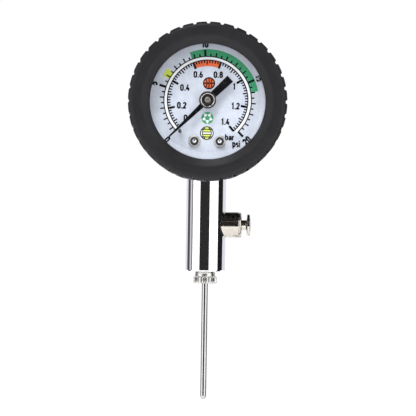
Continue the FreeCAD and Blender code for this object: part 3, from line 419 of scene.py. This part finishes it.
# ------------------------------------------------------------------ dial print
class Ink:
    def __init__(self):
        self.v, self.f = [], []

    def prism(self, pts, top, bottom=0.004):
        n, b = len(pts), len(self.v)
        for x, y in pts:
            self.v.append(on_dial(x, y, DIAL + bottom))
        for x, y in pts:
            self.v.append(on_dial(x, y, DIAL + top))
        self.f.append(tuple(b + n + i for i in range(n)))
        self.f.append(tuple(b + n - 1 - i for i in range(n)))
        for i in range(n):
            j = (i + 1) % n
            self.f.append((b + i, b + j, b + n + j, b + n + i))

    def ribbon(self, left, right, top, closed=False, bottom=0.004):
        n, b = len(left), len(self.v)
        for (lx, ly), (rx, ry) in zip(left, right):
            self.v.append(on_dial(lx, ly, DIAL + top))
            self.v.append(on_dial(rx, ry, DIAL + top))
            self.v.append(on_dial(rx, ry, DIAL + bottom))
            self.v.append(on_dial(lx, ly, DIAL + bottom))
        for i in range(n if closed else n - 1):
            a, c = b + 4 * i, b + 4 * ((i + 1) % n)
            for k in range(4):
                k2 = (k + 1) % 4
                self.f.append((a + k, c + k, c + k2, a + k2))
        if not closed:
            self.f.append((b, b + 1, b + 2, b + 3))
            e = b + 4 * (n - 1)
            self.f.append((e + 3, e + 2, e + 1, e))

    def stroke(self, pts, w, top, closed=False):
        """Constant-width line with mitred corners."""
        n = len(pts)
        left, right = [], []
        for i in range(n):
            p = pts[i]
            a = pts[i - 1] if (i > 0 or closed) else None
            c = pts[(i + 1) % n] if (i < n - 1 or closed) else None
            d1 = norm((p[0] - a[0], p[1] - a[1])) if a else None
            d2 = norm((c[0] - p[0], c[1] - p[1])) if c else None
            d1 = d1 or d2
            d2 = d2 or d1
            nx, ny = -(d1[1] + d2[1]), d1[0] + d2[0]
            ln = math.hypot(nx, ny) or 1.0
            nx, ny = nx / ln, ny / ln
            k = max(0.45, nx * -d1[1] + ny * d1[0])
            h = w / 2 / k
            left.append((p[0] + nx * h, p[1] + ny * h))
            right.append((p[0] - nx * h, p[1] - ny * h))
        self.ribbon(left, right, top, closed)

    def arc(self, r0, r1, a0, a1, top, step=1.0):
        n = max(2, int(abs(a1 - a0) / step))
        A = [(r0 * math.cos(rad(a0 + (a1 - a0) * i / n)), r0 * math.sin(rad(a0 + (a1 - a0) * i / n))) for i in range(n + 1)]
        B = [(r1 * math.cos(rad(a0 + (a1 - a0) * i / n)), r1 * math.sin(rad(a0 + (a1 - a0) * i / n))) for i in range(n + 1)]
        self.ribbon(A, B, top)

    def tick(self, ang, r0, r1, w, top):
        c, s = math.cos(rad(ang)), math.sin(rad(ang))
        pts = [(r0, -w / 2), (r1, -w / 2), (r1, w / 2), (r0, w / 2)]
        self.prism([(x * c - y * s, x * s + y * c) for x, y in pts], top)

    def disc(self, cx, cy, r, top, n=48, clip=None):
        self.prism([(cx + r * math.cos(2 * math.pi * i / n), cy + r * math.sin(2 * math.pi * i / n)) for i in range(n)], top)

    def hoop(self, cx, cy, r0, r1, top, n=48):
        A = [(cx + r0 * math.cos(2 * math.pi * i / n), cy + r0 * math.sin(2 * math.pi * i / n)) for i in range(n)]
        B = [(cx + r1 * math.cos(2 * math.pi * i / n), cy + r1 * math.sin(2 * math.pi * i / n)) for i in range(n)]
        self.ribbon(A, B, top, closed=True)

    def done(self, name, mat):
        o = make(name, self.v, self.f, M[mat], "housing", "dial")
        return o


def norm(d):
    ln = math.hypot(*d)
    return (d[0] / ln, d[1] / ln) if ln > 1e-9 else None


def ell(cx, cy, rx, ry, a0, a1, n=10):
    return [(cx + rx * math.cos(rad(a0 + (a1 - a0) * i / n)), cy + ry * math.sin(rad(a0 + (a1 - a0) * i / n))) for i in range(n + 1)]


# glyph strokes on a unit-height body, stroke centre lines from 0 to 0.84
H = 0.84
GLYPHS = {
    "0": (0.40, [("c", ell(0.20, H - 0.20, 0.20, 0.20, 0, 180) + ell(0.20, 0.20, 0.20, 0.20, 180, 360))]),
    "1": (0.24, [("o", [(0.0, H - 0.20), (0.19, H - 0.0), (0.19, 0.0 - 0.08)])]),
    "2": (0.40, [("o", ell(0.20, H - 0.21, 0.20, 0.21, 172, -38) + [(0.0, 0.0), (0.46, 0.0)])]),
    "4": (0.46, [("o", [(0.27, H + 0.07), (0.0, 0.22), (0.50, 0.22)]), ("o", [(0.33, 0.46), (0.33, -0.08)])]),
    "5": (0.40, [("o", [(0.42, H), (0.04, H), (0.02, 0.44)] + ell(0.19, 0.26, 0.21, 0.27, 118, -140))]),
    "6": (0.40, [("c", ell(0.20, 0.23, 0.20, 0.23, 0, 350, 18)), ("o", [(0.015, 0.31), (0.09, 0.52), (0.25, H + 0.07)])]),
    "8": (0.40, [("c", ell(0.20, H - 0.19, 0.175, 0.19, 0, 350, 16)), ("c", ell(0.20, 0.225, 0.20, 0.225, 0, 350, 16))]),
    ".": (0.0, [("o", [(0.0, -0.08), (0.0, 0.09)])]),
    "b": (0.36, [("o", [(0.0, H + 0.07), (0.0, -0.08)]), ("c", ell(0.18, 0.37, 0.18, 0.18, 0, 180) + ell(0.18, 0.19, 0.18, 0.19, 180, 360))]),
    "a": (0.35, [("o", [(0.02, 0.47)] + ell(0.18, 0.39, 0.16, 0.17, 120, 0) + [(0.34, -0.08)]), ("c", ell(0.17, 0.15, 0.17, 0.15, 0, 350, 14))]),
    "r": (0.24, [("o", [(0.0, 0.64), (0.0, -0.08)]), ("o", [(0.0, 0.36)] + ell(0.17, 0.36, 0.15, 0.20, 150, 60, 5))]),
    "p": (0.36, [("o", [(0.0, 0.64), (0.0, -0.34)]), ("c", ell(0.18, 0.37, 0.18, 0.18, 0, 180) + ell(0.18, 0.19, 0.18, 0.19, 180, 360))]),
    "s": (0.30, [("o", [(0.30, 0.50)] + ell(0.16, 0.42, 0.14, 0.135, 50, 250, 7) + ell(0.16, 0.145, 0.15, 0.145, 65, -140, 8))]),
    "i": (0.0, [("o", [(0.0, 0.64), (0.0, -0.08)]), ("o", [(0.0, 0.74), (0.0, 0.91)])]),
}


def text(ink, word, cx, cy, h, w, top, turn_deg=0.0, narrow=0.90, gap=0.29):
    """word drawn in stroke letters of height h and line width w, centred on (cx, cy)."""
    k = (h - w) / H
    adv, items = 0.0, []
    for ch in word:
        wd, strokes = GLYPHS[ch]
        items.append((adv, strokes))
        adv += wd * narrow + (gap if ch not in ".i" else gap * 0.92)
    total = adv - gap
    c, s = math.cos(rad(turn_deg)), math.sin(rad(turn_deg))
    lift = 0.0
    for x0, strokes in items:
        for kind, pts in strokes:
            out = []
            for x, y in pts:
                px, py = (x0 + x * narrow - total / 2) * k, (max(y, -0.34) - H / 2) * k
                out.append((cx + px * c - py * s, cy + px * s + py * c))
            ink.stroke(out, w, top + lift, closed=(kind == "c"))
            lift += 0.0006


K = 0.9855          # print radii brought to the dial's depth


def psi(p):
    return 225.0 if p == 0 else -45.0 + (20.0 - p) * 13.87


def bar(b):
    return psi(b * 14.5038) if b > 0 else 225.0


black, white, green, orange, lime = Ink(), Ink(), Ink(), Ink(), Ink()
T1, T2, T3 = 0.010, 0.018, 0.026
R1, R2 = 13.97 * K, 12.85 * K
white.arc(R2 + 0.14, R1 - 0.14, 226.0, -46.5, T1)
black.arc(R1 - 0.16, R1 + 0.18, 225.3, -45.4, T3)
black.arc(R2 - 0.18, R2 + 0.16, 225.3, bar(1.4) - 0.5, T3)
green.arc(14.1 * K, 16.2 * K, bar(0.6), bar(1.1), T2)
lime.arc(14.1 * K, 16.2 * K, bar(0.4), bar(0.45), T2)
orange.arc(10.85 * K, 12.75 * K, bar(0.6), bar(0.8), T2)
for i in range(0, 41):
    p = i / 2.0
    if p == 0:
        black.tick(224.4, R1, 15.9 * K, 0.32, T3)
        continue
    if p < 0.9:
        continue
    whole = i % 2 == 0
    major = i % 10 == 0
    black.tick(psi(p), R1, (16.05 if major else 15.35 if whole else 14.9) * K, 0.74 if major else 0.45, T3)
for i in range(0, 71):
    if 0 < i < 3:
        continue
    a = bar(i * 0.02) if i else 224.4
    major = i % 10 == 0
    tenth = i % 5 == 0
    black.tick(a, (10.7 if major else 11.4 if tenth else 11.9) * K, R2, 0.42 if i == 0 else 0.74 if major else 0.43, T3)
for p, lab in ((0, "0"), (5, "5"), (10, "10"), (15, "15"), (20, "20")):
    a = psi(p)
    r = 17.62 * K
    text(black, lab, r * math.cos(rad(a)), r * math.sin(rad(a)), 2.15, 0.56, T3, a - 90 if 0 < p < 20 else a + 90, 0.95)
for lab, x, y in (("0", -7.0, -5.7), ("0.2", -8.26, -1.73), ("0.4", -7.3, 3.94), ("0.6", -3.14, 8.19), ("0.8", 3.26, 8.19),
                  ("1", 8.35, 4.48), ("1.2", 8.9, -1.73), ("1.4", 5.76, -6.78)):
    text(black, lab, x * K, y * K, 2.14, 0.48, T3)
text(black, "bar", 7.2 * K, -11.7 * K, 2.05, 0.45, T3, 0.0, 0.92, 0.24)
text(black, "psi", 9.15 * K, -13.6 * K, 2.05, 0.45, T3, 0.0, 0.86, 0.23)

# three plain ball signs
bx, by, br = 0.35 * K, 5.44 * K, 1.96 * K
orange.disc(bx, by, br - 0.12, T1)
black.hoop(bx, by, br - 0.42, br, T2)
black.stroke([(bx - br + 0.15, by), (bx + br - 0.15, by)], 0.42, T2 + 0.001)
black.stroke([(bx, by - br + 0.15), (bx, by + br - 0.15)], 0.36, T2 + 0.002)
for sgn in (-1, 1):
    pts = [(bx + sgn * (1.9 - 1.25 * math.cos(rad(t))), by + 1.9 * math.sin(rad(t))) for t in range(-44, 45, 8)]
    black.stroke(pts, 0.36, T2 + 0.003 + 0.001 * sgn)
fx, fy, fr = 0.0, -5.66 * K, 1.95 * K
green.disc(fx, fy, fr, T1)
for i in range(5):
    a = 126 + 72 * i
    c0 = (fx + 0.56 * fr * math.cos(rad(a)), fy + 0.56 * fr * math.sin(rad(a)))
    pts = []
    for k in range(6):
        t = rad(a + 30 + 60 * k)
        pts.append((c0[0] + 0.25 * fr * math.cos(t), c0[1] + 0.25 * fr * math.sin(t)))
    white.prism(pts, T2)
    t = rad(a)
    white.stroke([(fx + 0.84 * fr * math.cos(t), fy + 0.84 * fr * math.sin(t)), (fx + fr * math.cos(t), fy + fr * math.sin(t))], 0.2, T2 + 0.002)
    t0, t1 = rad(a), rad(a + 72)
    white.stroke([(fx + 0.62 * fr * math.cos(t0), fy + 0.62 * fr * math.sin(t0)), (fx + 0.62 * fr * math.cos(t1), fy + 0.62 * fr * math.sin(t1))], 0.13, T2 + 0.003)
vx, vy, vr = -0.1, -10.5 * K, 2.18 * K
white.disc(vx, vy, vr - 0.1, T1)
black.hoop(vx, vy, vr - 0.32, vr, T3)
for off in (-0.74, 0.74):
    half = 1.16
    lime.stroke([(vx - half, vy + off), (vx, vy + off * 1.04), (vx + half, vy + off)], 0.52, T2)
for off in (-1.56, 1.56):
    lime.stroke([(vx - 0.62, vy + off), (vx + 0.62, vy + off)], 0.46, T2)
for off in (-1.16, -0.36, 0.36, 1.16):
    half = 1.25 if abs(off) < 1 else 1.45
    black.stroke([(vx - half, vy + off * 0.97), (vx, vy + off * 1.04), (vx + half, vy + off * 0.97)], 0.30, T2 + 0.002)
for sgn in (-1, 1):
    pts = [(vx + sgn * (0.30 + 1.12 * math.cos(rad(t))), vy + 1.62 * math.sin(rad(t))) for t in range(-78, 79, 12)]
    black.stroke(pts, 0.28, T2 + 0.004)
black.done("dial_print_black", "ink_black")
white.done("dial_print_white", "ink_white")
green.done("dial_print_green", "ink_green")
orange.done("dial_print_orange", "ink_orange")
lime.done("dial_print_lime", "ink_lime")

# ------------------------------------------------------------------ needle head: straight knurl and a cut thread
def needle_head():
    n, ridges, pitch, root, crest = 208, 26, 0.8, 2.08, 2.46
    rings = [(0.84, 0.14), (0.84, 0.1), (3.25, 0.1), (3.45, 0.14)]
    rings += [(3.85, z, 1.0) for z in (0.46, 0.6, 1.2, 1.8, 2.0)]
    rings[4] = (3.78, 0.40, 0.9)
    rings += [(3.80, 2.06, 0.9), (3.50, 2.3), (3.34, 2.35), (3.28, 2.42), (3.30, 2.55), (3.24, 3.2), (3.20, 3.5), (3.12, 3.72), (2.95, 3.86), (2.75, 3.9), (2.0, 3.9), (2.0, 4.1)]
    z = 4.2
    while z < 8.86:
        rings.append((root, z, -1.0))
        z += 0.05
    rings += [(1.95, 8.92), (1.85, 9.0), (0.6, 9.0), (0.6, 5.1), (0.84, 5.1)]
    verts = []
    for i in range(n):
        t = i / n
        c, sn = math.cos(2 * math.pi * t), math.sin(2 * math.pi * t)
        for ring in rings:
            r, z = ring[0], ring[1]
            k = ring[2] if len(ring) > 2 else 0.0
            if k > 0:
                w = (t * ridges) % 1.0
                r -= 0.36 * k * max(0.0, 1.0 - 3.2 * min(w, 1.0 - w)) ** 0.8
            elif k < 0:
                w = (t - z / pitch) % 1.0
                prof = max(0.0, min(1.0, 1.6 * (1.0 - 2.0 * abs(w - 0.5)) - 0.2))
                ease = max(0.0, min(1.0, (z - 4.2) / 0.5)) * max(0.0, min(1.0, (8.85 - z) / 0.5))
                r += (crest - root) * prof * ease
            verts.append((r * c, r * sn, z))
    o = make("needle_head_knurled", verts, lathe_faces(n, len(rings)), M["nickel_head"], "needle", "nickel", 28)
    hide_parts("needle_head")


needle_head()


def dial_screw(name, x):
    def at(u, v, s):
        return on_dial(x + u, -12.91 + v, s)
    pts = [(0.0, 9.42), (1.9, 9.42), (1.9, 9.74)] + [(1.62 + 0.28 * math.cos(rad(t)), 9.74 + 0.34 * math.sin(rad(t))) for t in (20, 40, 60, 75, 90)]
    pts += [(1.34, 10.04), (1.22, 9.92), (1.16, 9.90), (0.84, 9.90)]
    pts += [(0.80 * math.cos(rad(t)), 9.96 + 0.66 * math.sin(rad(t))) for t in (0, 10, 20, 30, 40, 50, 60, 70, 80)] + [(0.0, 10.62)]
    o = turn(name + "_domed", pts, [M["screw_nickel"], M["chrome"], M["lacquer_and_groove_shade"]], at, seg=64, slot="chrome", smooth=50)
    # The dome centre gets chrome and the rim satin nickel. The groove ring between them gets the black case paint as
    # painted shade.
    for p in o.data.polygons:
        cy = sum(((o.data.vertices[i].co.x / MM - x) ** 2 + (o.data.vertices[i].co.z / MM - GZ + 12.91) ** 2) ** 0.5 for i in p.vertices) / len(p.vertices)
        p.material_index = 1 if cy < 0.81 else 2 if cy < 1.40 else 0
    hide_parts(name)


dial_screw("dial_screw_left", -3.99)
dial_screw("dial_screw_right", 3.99)


# ------------------------------------------------------------------ bleed valve body and button
def on_valve(u, v, x):
    return (x, -u, 18.9 + v)


pts = [(2.3, 1.92), (2.98, 1.92), (2.98, 4.7), (4.13, 4.7), (4.14, 6.3), (4.17, 8.4), (4.18, 10.35), (4.15, 10.47), (4.06, 10.53), (3.92, 10.55),
       (3.90, 10.62), (3.92, 10.70), (4.04, 10.72), (4.10, 10.80)]
pts += [(3.30 + 0.80 * math.cos(rad(t)), 10.82 + 0.58 * math.sin(rad(t))) for t in (15, 30, 45, 60, 75, 90)]
pts += [(1.95, 11.40), (1.80, 11.34), (1.70, 11.2), (1.68, 8.5), (2.3, 8.5)]
vh = turn("valve_body_turned", pts, M["nickel"], on_valve, seg=128, slot="nickel", smooth=25)
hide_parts("valve_housing")
pts = [(0.0, 11.02), (0.98, 11.02), (0.98, 8.9), (1.6, 8.9), (1.6, 12.55)]
pts += [(1.95 - 0.35 * math.cos(rad(t)), 12.55 + 0.50 * math.sin(rad(t))) for t in (20, 45, 70, 90)]
pts += [(2.9, 13.1), (3.3, 13.12)] + [(3.22 + 0.28 * math.cos(rad(t)), 13.42 + 0.28 * math.sin(rad(t))) for t in (-60, -30, 0)]
pts += [(3.50, 13.78)] + [(3.20 + 0.30 * math.cos(rad(t)), 13.82 + 0.26 * math.sin(rad(t))) for t in (25, 50, 75)]
pts += [(2.75, 14.14), (2.1, 14.26), (1.2, 14.36), (0.0, 14.39)]
vb = turn("release_button_turned", pts, M["nickel"], on_valve, body="button", seg=96, slot="nickel", smooth=25)
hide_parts("release_button")


def pipe(name, path, across, mat, body, slot, smooth=50, flat=None):
    """Closed solid swept along path; across is the section, a list of (a, b) in the section's own axes."""
    verts, faces = [], []
    m = len(across)
    prev = None
    for i, p in enumerate(path):
        p = Vector(p)
        a = Vector(path[max(i - 1, 0)])
        c = Vector(path[min(i + 1, len(path) - 1)])
        t = (c - a).normalized()
        if flat is not None:
            side = Vector(flat)
        else:
            side = prev if prev is not None else Vector((1, 0, 0)) if abs(t.x) < 0.8 else Vector((0, 1, 0))
        e2 = (side - t * side.dot(t)).normalized()
        e1 = e2.cross(t).normalized()
        prev = e2
        for u, v in across:
            verts.append(p + e1 * u + e2 * v)
    for i in range(len(path) - 1):
        for j in range(m):
            j2 = (j + 1) % m
            faces.append((i * m + j, i * m + j2, (i + 1) * m + j2, (i + 1) * m + j))
    faces.append(tuple(range(m)))
    e = (len(path) - 1) * m
    faces.append(tuple(e + m - 1 - j for j in range(m)))
    return make(name, verts, faces, mat, body, slot, smooth)


circle = [(0.2 * math.cos(rad(36 * i)), 0.2 * math.sin(rad(36 * i))) for i in range(10)]
path = []
turns, lo, hi = 6.0, 3.46, 6.22
steps = int(turns * 28)
for i in range(steps + 1):
    t = i / steps
    k = t * turns
    if k < 1:
        x = lo + 0.10 * k
    elif k > turns - 1:
        x = hi - 0.10 * (turns - k)
    else:
        x = lo + 0.10 + (hi - lo - 0.20) * (k - 1) / (turns - 2)
    path.append((x, 1.6 * math.cos(2 * math.pi * k), 18.9 + 1.6 * math.sin(2 * math.pi * k)))
spring = pipe("valve_spring_coil", path, circle, M["steel"], "housing", "steel")
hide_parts("valve_spring")
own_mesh(spring)

oval = []
for i in range(12):
    a = rad(-90 + 180 * i / 11)
    oval.append((0.78 * math.sin(a), 2.22 + 0.78 * math.cos(a)))
for i in range(12):
    a = rad(-90 + 180 * i / 11)
    oval.append((-0.78 * math.sin(a), -2.22 - 0.78 * math.cos(a)))
path = []
for i in range(121):
    a = rad(-105.5 - 269.0 * i / 120)
    path.append(on_dial(14.5 * math.cos(a), 14.5 * math.sin(a), -4.0))
tube = pipe("bourdon_tube_bent", path, oval, M["bronze"], None, "bronze", 40, flat=(0, 1, 0))
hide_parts("bourdon_tube")
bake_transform(tube)

# ------------------------------------------------------------------ carried-over nodes
LOOK = {
    "gauge_case": "lacquer_and_groove_shade", "bezel_ring": "lacquer_and_groove_shade", "lens_gasket": "rubber_in", "dial_plate": "dial", "pointer_stop_pin": "pin_steel",
    "dial_screw_left": "screw_nickel", "dial_screw_right": "screw_nickel", "dial_post_left": "brass", "dial_post_right": "brass",
    "pointer": "black", "pointer_cap": "cap", "hub_ring": "nickel", "hub_bush": "bush_nickel", "pinion_shaft": "steel",
    "sector_gear": "brass", "sector_arbor": "steel", "movement_front_plate": "brass", "movement_back_plate": "brass",
    "hairspring": "bronze", "hairspring_stud": "brass", "link": "brass", "tail_pin": "steel", "tip_pin": "steel",
    "bourdon_tube": "bronze", "bourdon_tip": "brass", "socket_block": "brass", "case_screw_left": "steel", "case_screw_right": "steel",
    "blowout_plug": "rubber_in", "stem_tube": "chrome", "socket_seal": "fibre", "valve_housing": "nickel", "valve_gasket": "rubber_in",
    "release_button": "nickel", "valve_rod": "brass", "valve_seal": "rubber_in", "valve_spring": "steel", "spring_retainer": "brass",
    "needle_washer": "rubber_in", "needle_head": "nickel_head", "needle_tube": "needle",
}
for i in (1, 2, 3):
    LOOK["movement_pillar_%d" % i] = "brass"
    LOOK["movement_screw_%d" % i] = "steel"
for name, key in LOOK.items():
    o = nodes[name]
    o.data.materials.clear()
    o.data.materials.append(M[key])


# ------------------------------------------------------------------ stage, lights, camera
def flat_mat(name, colour, strength):
    m = bpy.data.materials.new(name)
    m.use_nodes = True
    nt = m.node_tree
    nt.nodes.clear()
    e = nt.nodes.new("ShaderNodeEmission")
    e.inputs["Color"].default_value = (*colour, 1)
    e.inputs["Strength"].default_value = strength
    out = nt.nodes.new("ShaderNodeOutputMaterial")
    nt.links.new(e.outputs["Emission"], out.inputs["Surface"])
    return m


def card(name, a0, a1, z0, z1, colour, strength, radius=0.72):
    """Curved studio card; angles are measured round +Z from the camera's side, positive to the right."""
    n = max(2, int(abs(a1 - a0) / 4))
    verts, faces = [], []
    for i in range(n + 1):
        a = rad(a0 + (a1 - a0) * i / n)
        for z in (z0, z1):
            verts.append((radius * math.sin(a), -radius * math.cos(a), z))
    for i in range(n):
        faces.append((2 * i, 2 * i + 2, 2 * i + 3, 2 * i + 1))
    me = bpy.data.meshes.new(name)
    me.from_pydata(verts, [], faces)
    o = bpy.data.objects.new(name, me)
    scene.collection.objects.link(o)
    me.materials.append(flat_mat(name + "_m", colour, strength))
    o.visible_camera = False
    o.visible_shadow = False
    o.visible_diffuse = False
    return o


LOW, HIGH = -0.155, 0.62
card("card_front_dark", -35, 21, LOW, 0.95, (0.030, 0.028, 0.028), 1.0)
card("card_left_white", -80, -35, LOW, HIGH, (1.0, 1.0, 1.0), 1.9)
card("card_left_grey", -92, -80, LOW, HIGH, (0.30, 0.30, 0.31), 1.0)
card("card_left_light", -103, -92, LOW, HIGH, (0.75, 0.75, 0.78), 1.0)
card("card_left_slate", -128, -103, LOW, HIGH, (0.09, 0.09, 0.10), 1.0)
card("card_right_white", 21, 74, LOW, HIGH, (1.0, 1.0, 1.0), 1.9)
card("card_right_dark", 74, 114, LOW, HIGH, (0.015, 0.015, 0.016), 1.0)
card("card_back_light", 114, 232, LOW, HIGH, (0.84, 0.84, 0.91), 1.0)
card("card_front_streak", -40, 26, 0.40, 0.445, (0.30, 0.27, 0.24), 1.0, 0.70)
for name, a0, a1, lum in (("card_floor_right", 74, 108, 0.03), ("card_floor_left", -128, -100, 0.10), ("card_floor_back", 150, 163, 0.16)):
    vs = [(r * math.sin(rad(a)), -r * math.cos(rad(a)), -0.157) for a in range(a0, a1 + 1) for r in (0.05, 0.74)]
    me = bpy.data.meshes.new(name)
    me.from_pydata(vs, [], [(2 * i, 2 * i + 2, 2 * i + 3, 2 * i + 1) for i in range(len(vs) // 2 - 1)])
    o = bpy.data.objects.new(name, me)
    scene.collection.objects.link(o)
    me.materials.append(flat_mat(name + "_m", (lum, lum, lum * 1.05), 1.0))
    o.visible_camera = False
    o.visible_shadow = False
    o.visible_diffuse = False
me = bpy.data.meshes.new("card_ceiling")
me.from_pydata([(0.95 * math.cos(rad(10 * i)), 0.95 * math.sin(rad(10 * i)), 0.97) for i in range(36)], [], [tuple(range(36))])
top = bpy.data.objects.new("card_ceiling", me)
scene.collection.objects.link(top)
me.materials.append(flat_mat("card_ceiling_m", (0.030, 0.026, 0.022), 1.0))
top.visible_camera = False
top.visible_shadow = False
top.visible_diffuse = False

me = bpy.data.meshes.new("studio_floor")
S, FZ = 6.0, -0.16
me.from_pydata([(-S, -S, FZ), (S, -S, FZ), (S, S, FZ), (-S, S, FZ)], [], [(0, 1, 2, 3)])
floor = bpy.data.objects.new("studio_floor", me)
scene.collection.objects.link(floor)
fm, nt, b = new_mat("studio_floor_m")
co = nt.nodes.new("ShaderNodeTexCoord").outputs["Object"]
nt.links.new(ramp(nt, noise(nt, co, 6.0, 3.0), [(0.3, (0.90, 0.90, 0.90)), (0.7, (0.93, 0.93, 0.93))]), b.inputs["Base Color"])
b.inputs["Roughness"].default_value = 0.8
b.inputs["Specular IOR Level"].default_value = 0.1
b.inputs["Emission Color"].default_value = (1, 1, 1, 1)
b.inputs["Emission Strength"].default_value = 0.86
me.materials.append(fm)

world = bpy.data.worlds.new("studio_world")
scene.world = world
world.use_nodes = True
nt = world.node_tree
bg = nt.nodes["Background"]
bg2 = nt.nodes.new("ShaderNodeBackground")
bg.inputs["Color"].default_value = (0.62, 0.63, 0.66, 1)
bg.inputs["Strength"].default_value = 0.36
bg2.inputs["Color"].default_value = (1, 1, 1, 1)
bg2.inputs["Strength"].default_value = 1.02
lp = nt.nodes.new("ShaderNodeLightPath")
mx = nt.nodes.new("ShaderNodeMixShader")
nt.links.new(lp.outputs["Is Camera Ray"], mx.inputs[0])
nt.links.new(bg.outputs[0], mx.inputs[1])
nt.links.new(bg2.outputs[0], mx.inputs[2])
nt.links.new(mx.outputs[0], nt.nodes["World Output"].inputs["Surface"])


def area(name, loc, target, size, power, colour=(1, 1, 1), glossy=True):
    d = bpy.data.lights.new(name, "AREA")
    d.shape = "DISK"
    d.size = size
    d.energy = power
    d.color = colour
    o = bpy.data.objects.new(name, d)
    scene.collection.objects.link(o)
    o.location = loc
    o.rotation_euler = (Vector(target) - Vector(loc)).to_track_quat("-Z", "Y").to_euler()
    o.visible_camera = False
    o.visible_glossy = glossy
    return o


area("key", (-0.27, -0.58, 0.85), (0, 0, 0.05), 0.26, 4.2, glossy=False)
area("top", (-0.14, -0.38, 1.02), (0, 0, 0.05), 0.22, 4.4)
area("fill", (0.45, -1.00, 0.10), (0, 0, 0.03), 0.5, 1.2, glossy=False)
area("front", (-0.06, -1.10, 0.16), (0, 0, 0.05), 0.35, 2.2, glossy=False)

cam_d = bpy.data.cameras.new("camera")
cam = bpy.data.objects.new("camera", cam_d)
scene.collection.objects.link(cam)
DIST = 650.0
cam_d.sensor_width = 36.0
cam_d.lens = 36.0 * DIST / 133.12
cam_d.clip_start = 0.01
cam_d.clip_end = 50
cam.location = Vector((0.62, -DIST, 24.2)) * MM
roll = rad(0.88)
right = Vector((math.cos(roll), 0, math.sin(roll)))
up = Vector((-math.sin(roll), 0, math.cos(roll)))
back = Vector((0, -1, 0))
cam.matrix_world = Matrix(((right.x, up.x, back.x, cam.location.x), (right.y, up.y, back.y, cam.location.y),
                           (right.z, up.z, back.z, cam.location.z), (0, 0, 0, 1)))
scene.camera = cam
scene.view_settings.view_transform = "Standard"
scene.view_settings.look = "None"
scene.view_settings.exposure = 0.0
scene.view_settings.gamma = 1.0

bpy.context.view_layer.update()
